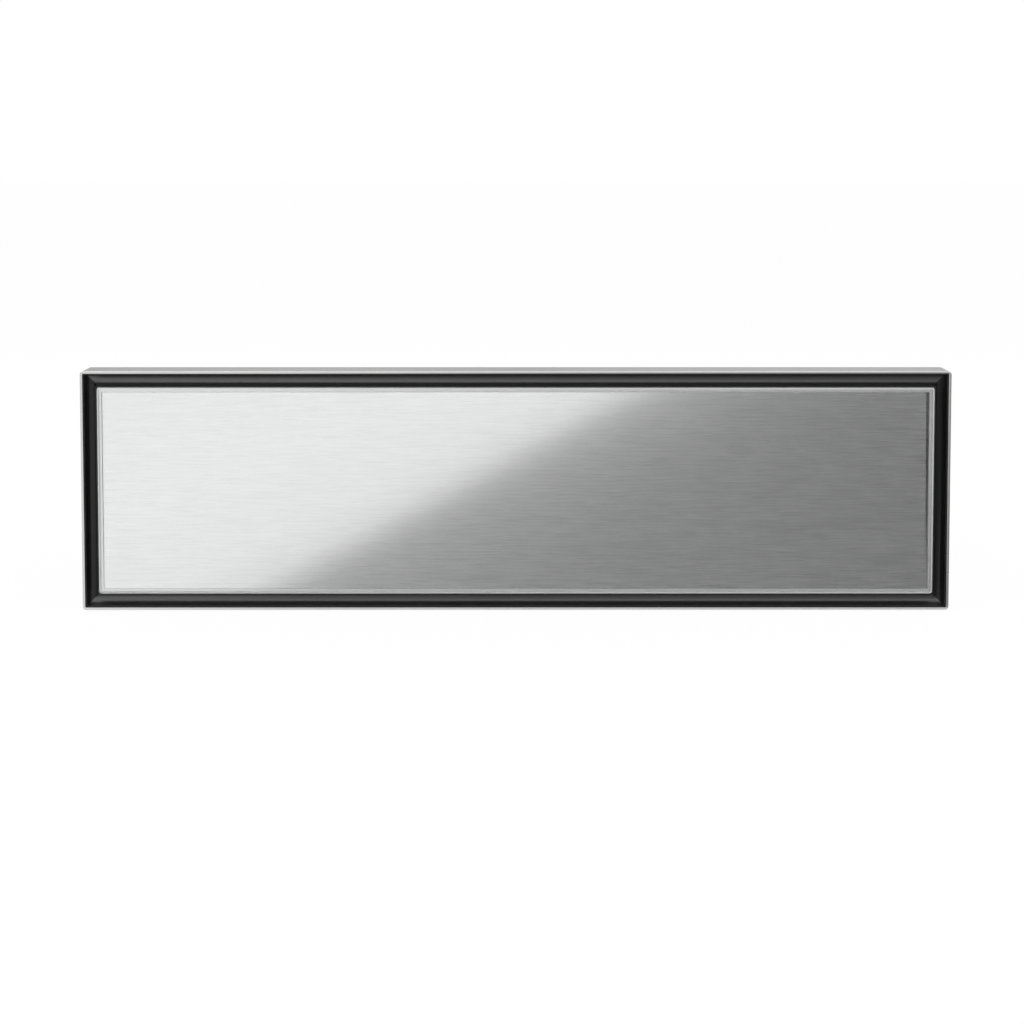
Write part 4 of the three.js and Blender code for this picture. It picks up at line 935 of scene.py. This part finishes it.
lobe = 0.6 * mm
shaft_radius = 3 * mm
shaft_end = knob_low.z - knob_foot
knob_steps = [
    (0.1 * mm, 0, shaft_end), (shaft_radius, 0, shaft_end), (shaft_radius, 0, 0),
    (knob_radius - 0.3 * mm, 0, 0), (knob_radius, 0, 0.3 * mm), (knob_radius, 0, knob_skirt - 1.0 * mm),
    (knob_radius - 0.4 * mm, 0, knob_skirt - 0.4 * mm),
    (knob_radius - 1.2 * mm, 0, knob_skirt), (grip_radius + 0.9 * mm, 0.3 * lobe, knob_skirt + 0.05 * mm),
    (grip_radius + 0.2 * mm, 0.8 * lobe, knob_skirt + 0.5 * mm), (grip_radius, lobe, knob_skirt + 1.2 * mm),
    (grip_radius - 0.35 * mm, lobe, knob_height - 1.6 * mm),
    (grip_radius - 0.5 * mm, lobe, knob_height - 0.8 * mm),
    (grip_radius - 0.9 * mm, 0.8 * lobe, knob_height - 0.25 * mm),
    (grip_radius - 1.7 * mm, 0.45 * lobe, knob_height),
    (grip_radius - 3 * mm, 0.1 * lobe, knob_height - 0.1 * mm),
    (0.5 * grip_radius, 0, knob_height - 0.5 * mm), (0.1 * mm, 0, knob_height - 0.6 * mm),
]
knob = loft("knob_cap", [knob_loop(*step) for step in knob_steps], sharp=50)
fit(knob, black_plastic, "control_knob", "black_plastic", "control_knob")
pointer_half, pointer_start, pointer_sunk = 0.7 * mm, 2 * mm, 1.2 * mm
pointer = upright_block(
    "knob_pointer", (knob_x - pointer_half, knob_y + pointer_start, knob_foot + knob_height - pointer_sunk),
    (knob_x + pointer_half, knob_y + knob_radius - 3.9 * mm, knob_high.z),
)
soft_edges(pointer, 0.3 * mm, 3)
fit(pointer, white_plastic, "control_knob", "white_plastic")

button_low, button_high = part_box("power_button")
button_x, button_y = (button_low.x + button_high.x) / 2, (button_low.y + button_high.y) / 2
button_radius = (button_high.x - button_low.x) / 2
stem_radius = 2.5 * mm
button_top = button_high.z - button_low.z
cap_foot = button_top - 4.3 * mm
button_profile = [
    (near_axis, 0), (stem_radius, 0), (stem_radius, cap_foot), (button_radius, cap_foot),
    (button_radius, button_top - 1.0 * mm), (button_radius - 0.15 * mm, button_top - 0.45 * mm),
    (button_radius - 0.5 * mm, button_top - 0.1 * mm), (button_radius - 1.0 * mm, button_top),
    (0.7 * button_radius, button_top - 0.15 * mm), (0.4 * button_radius, button_top - 0.4 * mm),
    (near_axis, button_top - 0.5 * mm),
]
button = turned("button_cap", button_profile, 64, (button_x, button_y, button_low.z))
fit(button, black_plastic, "power_button", "black_plastic", "power_button")

lens_low, lens_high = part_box("pilot_lens")
lens_x = (lens_low.x + lens_high.x) / 2
lens_radius = 2.5 * mm
lens_top = lens_high.z - lens_low.z
lens_step, lens_seat = lens_top - 5.0 * mm, lens_top - 3.0 * mm
lens_flange = (lens_high.x - lens_low.x) / 2
amber = grained("amber_lens", 800, [(0.85, 0.33, 0.03)], [0.09, 0.16], Transmission_Weight=0.55, IOR=1.49)
lens_profile = [
    (near_axis, 0), (lens_radius, 0), (lens_radius, lens_step), (lens_flange, lens_step),
    (lens_flange, lens_seat), (lens_radius, lens_seat), (lens_radius, lens_top - 1.2 * mm),
    (0.92 * lens_radius, lens_top - 0.7 * mm), (0.75 * lens_radius, lens_top - 0.35 * mm),
    (0.45 * lens_radius, lens_top - 0.08 * mm), (near_axis, lens_top),
]
lens = turned("pilot_cap", lens_profile, 40, (lens_x, button_y, lens_low.z))
fit(lens, amber, "drawer", "amber_lens", "pilot_lens")

ink = grained("black_ink", 1500, [(0.015, 0.015, 0.016), (0.03, 0.03, 0.032)], [0.45])
letter_height = 3.0 * mm


def printed_text(name, text, x, y):
    """Plain characters, as thin as print, lying on the ledge with their middle at x, y."""
    words = bpy.data.curves.new(name, "FONT")
    words.body = text
    words.size = letter_height
    words.align_x = "CENTER"
    words.align_y = "CENTER"
    words.extrude = print_rise / 2
    words.resolution_u = 6
    lettering = add_object(name, words)
    lettering.location = (x, y, ledge_top + print_rise / 2)
    mesh = shaped_mesh(lettering)
    mesh.transform(lettering.matrix_world)
    bpy.data.objects.remove(lettering)
    return fit(add_object(name, mesh), ink, "drawer", "black_plastic")


knob_turn = math.radians(240)
number_reach = knob_radius + 2.2 * mm
for number in range(5):
    angle = math.pi / 2 - knob_turn * number / 4
    printed_text(f"print_{number}", str(number), knob_x + number_reach * math.cos(angle),
                 knob_y + number_reach * math.sin(angle))
printed_text("print_on_off", "ON / OFF", button_x, button_y + 12.5 * mm)
button_ring = printed_band("print_ring", circle(button_x, button_y, button_radius + 2.2 * mm),
                           circle(button_x, button_y, button_radius + 1.8 * mm), ledge_top)
fit(button_ring, ink, "drawer", "black_plastic")
ledge_low, ledge_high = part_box("control_ledge")
ledge_screws_x = (ledge_low.x + 24 * mm, ledge_high.x - 24 * mm, 0)
fasten("ledge_screws", low_head, [((x, knob_y, ledge_top), up) for x in ledge_screws_x], "drawer",
       stainless, "stainless_steel")


# -------------------------------------------- panel
# A steel sheet, finely brushed from side to side, lies behind a clear glass sheet whose ground edge stands
# past it. An aluminium tray carries both and shows through the edge as a lighter band.
satin_aluminium = grained("satin_aluminium", 500, [(0.94, 0.94, 0.94), (0.98, 0.98, 0.98)],
                          [0.37, 0.43], 1.0)
dress(satin_aluminium, 0.2 * mm, "panel_tray")

slab_low, slab_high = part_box("outer_frame")
slab_half_x = (slab_high.x - slab_low.x) / 2
slab_half_z = (slab_high.z - slab_low.z) / 2
slab_middle_z = (slab_low.z + slab_high.z) / 2
glass_low, glass_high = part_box("glass_front")
panel_margin = slab_half_x - glass_high.x
glass_thickness = glass_high.y - glass_low.y
glass_chamfer = 1.5 * mm
glass_corner = 0.6 * mm


def front_loop(inset, depth, radius=0.0, steps=0):
    """A loop round the slab, at an inset from its outer edge and a depth behind its face."""
    return [Vector((x, slab_low.y + depth, slab_middle_z + z))
            for x, z in rounded_loop(slab_half_x - inset, slab_half_z - inset, radius, steps)]


panel_steel = new_finish("panel_steel", (0.88, 0.88, 0.88), 0.085, 1.0, Anisotropic=0.5)
scratch_length, scratch_width = 24 * mm, 0.9 * mm
finer = scratch_length / scratch_width
scratches = grain(panel_steel, 1 / scratch_length, (1, finer, finer), roughness=0.6)
tint(panel_steel, scratches, (0.81, 0.81, 0.81), (0.98, 0.98, 0.98))
gloss(panel_steel, scratches, 0.095, 0.075)
relief(panel_steel, scratches, 0.004 * mm, 0.25)
gloss(panel_steel, scratches, 1.0, 0.79, "Metallic")
brushing = add_node(panel_steel, "Tangent", direction_type="RADIAL", axis="Z")
wire(panel_steel, brushing.outputs[0], "Tangent")
facing_low, facing_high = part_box("steel_facing")
facing_roll = 3.2 * mm
facing_fall = 0.6 * mm
rolled_end = [(facing_roll * step / 6, facing_fall * (1 - step / 6) ** 2) for step in range(7)]
rolled_end.append((facing_roll + 1 * mm, 0))
across = [(facing_low.x + run, fall) for run, fall in rolled_end]
across += [(facing_high.x - run, fall) for run, fall in reversed(rolled_end)]
facing_loops = []
for x, fall in across:
    front, back = facing_low.y + fall, facing_high.y
    facing_loops.append([Vector((x, front, facing_low.z)), Vector((x, front, facing_high.z)),
                         Vector((x, back, facing_high.z)), Vector((x, back, facing_low.z))])
facing = loft("facing_sheet", facing_loops, sharp=50)
fit(facing, panel_steel, "drawer", "panel_steel", "steel_facing")

clear_glass = grained("clear_glass", 40, [(0.97, 0.975, 0.973)], [0.0, 0.012],
                      Transmission_Weight=1.0, IOR=1.5)
ground_glass = grained("ground_glass", 2000, [(0.94, 0.95, 0.945)], [0.4, 0.5],
                       Transmission_Weight=0.3, IOR=1.5)
sheet_edges = [
    (glass_chamfer, 0.0), (0.15 * mm, glass_chamfer - 0.1 * mm), (0.0, glass_chamfer + 0.15 * mm),
    (0.0, glass_thickness - 0.4 * mm), (0.4 * mm, glass_thickness),
]
pane = loft("pane", [front_loop(panel_margin + inset, depth, glass_corner + glass_chamfer - inset, 8)
                     for inset, depth in sheet_edges], sharp=15)
fit(pane, clear_glass, "drawer", "panel_glass", "glass_front")
pane.data.materials.append(ground_glass)
for face in pane.data.polygons:
    if 0.3 < abs(face.normal.y) < 0.95:
        face.material_index = 1


# -------------------------------------------- gutter
# A black channel runs round the panel, mitred at its corners: rolled sheet with a round bottom, powder
# coated in satin black. Its lip reaches behind the panel's tray. The top and bottom members get a lighter,
# glossier copy of the coating and the side members and front edges a darker one: painted light and shade.
gutter_low, gutter_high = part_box("gutter_frame")
gutter_outer = slab_half_x - gutter_high.x
gutter_inner = panel_margin - gap
gutter_sheet = 0.8 * mm
gutter_lip = 7.2 * mm
gutter_radius = (gutter_inner - gutter_outer) / 2
gutter_setback = gutter_low.y - slab_low.y
gutter_wall = gutter_high.y - slab_low.y - gutter_radius
gutter_arc = 20
gutter_edge = 0.2 * mm


def channel_bottom(radius):
    """(inset, depth) pairs round the channel's bottom, from its outer wall to its inner one."""
    centre = (gutter_outer + gutter_inner) / 2
    angles = [math.pi * (1 - i / gutter_arc) for i in range(gutter_arc + 1)]
    return [(centre + radius * math.cos(a), gutter_wall + radius * math.sin(a)) for a in angles]


tray_back_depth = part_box("panel_tray")[1].y - slab_low.y
eased_depth = gutter_setback + gutter_edge
gutter_section = [
    (gutter_outer, eased_depth), *channel_bottom(gutter_radius),
    (gutter_inner + gutter_lip, gutter_wall), (gutter_inner + gutter_lip, tray_back_depth),
    (gutter_inner, tray_back_depth), (gutter_inner, eased_depth),
    (gutter_inner - gutter_edge, gutter_setback),
    (gutter_inner - gutter_sheet + gutter_edge, gutter_setback),
    (gutter_inner - gutter_sheet, eased_depth), *reversed(channel_bottom(gutter_radius - gutter_sheet)),
    (gutter_outer + gutter_sheet, eased_depth),
    (gutter_outer + gutter_sheet - gutter_edge, gutter_setback),
    (gutter_outer + gutter_edge, gutter_setback),
]


def satin_black(name, shine, index, grey):
    """Black coating with the orange-peel grain of powder, round an even grey."""
    made = new_finish(name, (grey, grey, grey), 0.4, Specular_IOR_Level=shine, IOR=index)
    fine = grain(made, 1400)
    tint(made, fine, [0.8 * grey] * 3, [1.25 * grey] * 3)
    gloss(made, grain(made, 500), 0.36, 0.44)
    relief(made, fine, 0.01 * mm, 0.2)
    return made


# Two copies of one black coating: the lighter, glossier one is painted light, the darker, duller one painted
# shade.
painted_lit_coat = satin_black("satin_black_painted_lit", 0.95, 1.7, 0.034)
painted_shade_coat = satin_black("satin_black_painted_shade", 0.4, 1.5, 0.02)
channel = loft("gutter_channel", [front_loop(*spot) for spot in gutter_section], capped=False)
fit(channel, painted_lit_coat, "drawer", "gutter_black", "gutter_frame")
channel.data.materials.append(painted_shade_coat)
# Side members and front edges take the painted-shade copy, top and bottom members the painted-light copy.
for face in channel.data.polygons:
    to_side = slab_half_x - abs(face.center.x)
    to_end = slab_half_z - abs(face.center.z - slab_middle_z)
    on_front_edge = face.center.y < gutter_low.y + 0.25 * mm
    face.material_index = 1 if to_side < to_end or on_front_edge else 0


# -------------------------------------------- rim
# The outer frame is folded from steel sheet, brushed from side to side: a thin bright rim round the front,
# deep plain sides, and a flange turned in at the back and screwed to the core. A stainless strip closes the
# flange's opening over the inner front.
rim_wall = 2.2 * mm
rim_corner = 3 * mm
rim_edge = 0.3 * mm
back_flange = 48 * mm
back_sheet = 1.5 * mm
slab_depth = slab_high.y - slab_low.y
inner_corner = rim_corner - rim_wall


def rim_loop(inset, depth):
    """A loop of the frame; its corners follow the outer radius down to the inner one."""
    return front_loop(inset, depth, max(rim_corner - inset, inner_corner), 10)


def eased(inset, depth, size, ways):
    """Three points round a small outer edge at (inset, depth), going the given ways."""
    (ai, ad), (bi, bd) = ways
    return [(inset + ai * size, depth + ad * size),
            (inset + (ai + bi) * 0.29 * size, depth + (ad + bd) * 0.29 * size),
            (inset + bi * size, depth + bd * size)]


rim_section = [
    *eased(rim_wall, 0, 0.25 * mm, ((0, 1), (-1, 0))), *eased(0, 0, rim_edge, ((1, 0), (0, 1))),
    *eased(0, slab_depth, 0.8 * mm, ((0, -1), (1, 0))), (back_flange, slab_depth),
    (back_flange, slab_depth - back_sheet), (rim_wall, slab_depth - back_sheet),
]
rim_steel = brushed_steel("rim_steel", (0.61, 0.61, 0.605), (0.65, 0.65, 0.645), 0.3, streak=30 * mm,
                          line=0.5 * mm)
rim = loft("rim_frame", [rim_loop(inset, depth) for inset, depth in rim_section], capped=False)
fit(rim, rim_steel, "drawer", "rim_steel", "outer_frame")
# The rim's inner walls take the darker copy of the black coating, which paints them in shade.
rim.data.materials.append(painted_shade_coat)
for face in rim.data.polygons:
    inward = Vector((0, face.center.y, slab_middle_z)) - face.center
    within = abs(face.normal.y) < 0.3 and face.center.y < slab_high.y - back_sheet
    if within and face.normal.dot(inward) > 0:
        face.material_index = 1
rim_screw_inset = 22 * mm
rim_screw_top = slab_high.z - rim_screw_inset
rim_screws = [
    (side * (slab_half_x - rim_screw_inset), z)
    for side in (-1, 1) for z in (slab_low.z + rim_screw_inset, slab_middle_z, rim_screw_top)
]
rim_screws += [(x, rim_screw_top) for x in (-200 * mm, 0, 200 * mm)]
fasten("rim_screws", low_head, [((x, slab_high.y, z), rearwards) for x, z in rim_screws], "drawer")

closing_back = slab_high.y - 0.1 * mm
closing_sheet = 1.2 * mm
closing_reach = slab_half_x - back_flange - gap
inner_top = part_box("inner_front")[1].z
closing_strip = upright_block(
    "closing_strip", (-closing_reach, closing_back - closing_sheet, inner_top - 6 * mm),
    (closing_reach, closing_back, slab_high.z - back_flange - gap),
)
soft_edges(closing_strip, 0.25 * mm)
fit(closing_strip, stainless, "drawer", "stainless_steel")
closing_level = (inner_top + slab_high.z - back_flange) / 2
closing_screws = [(x * mm, closing_back, closing_level) for x in (-300, -100, 100, 300)]
fasten("closing_screws", low_head, [(spot, rearwards) for spot in closing_screws], "drawer")

for pattern in (screw_head, rivet_head, low_head):
    bpy.data.objects.remove(pattern)
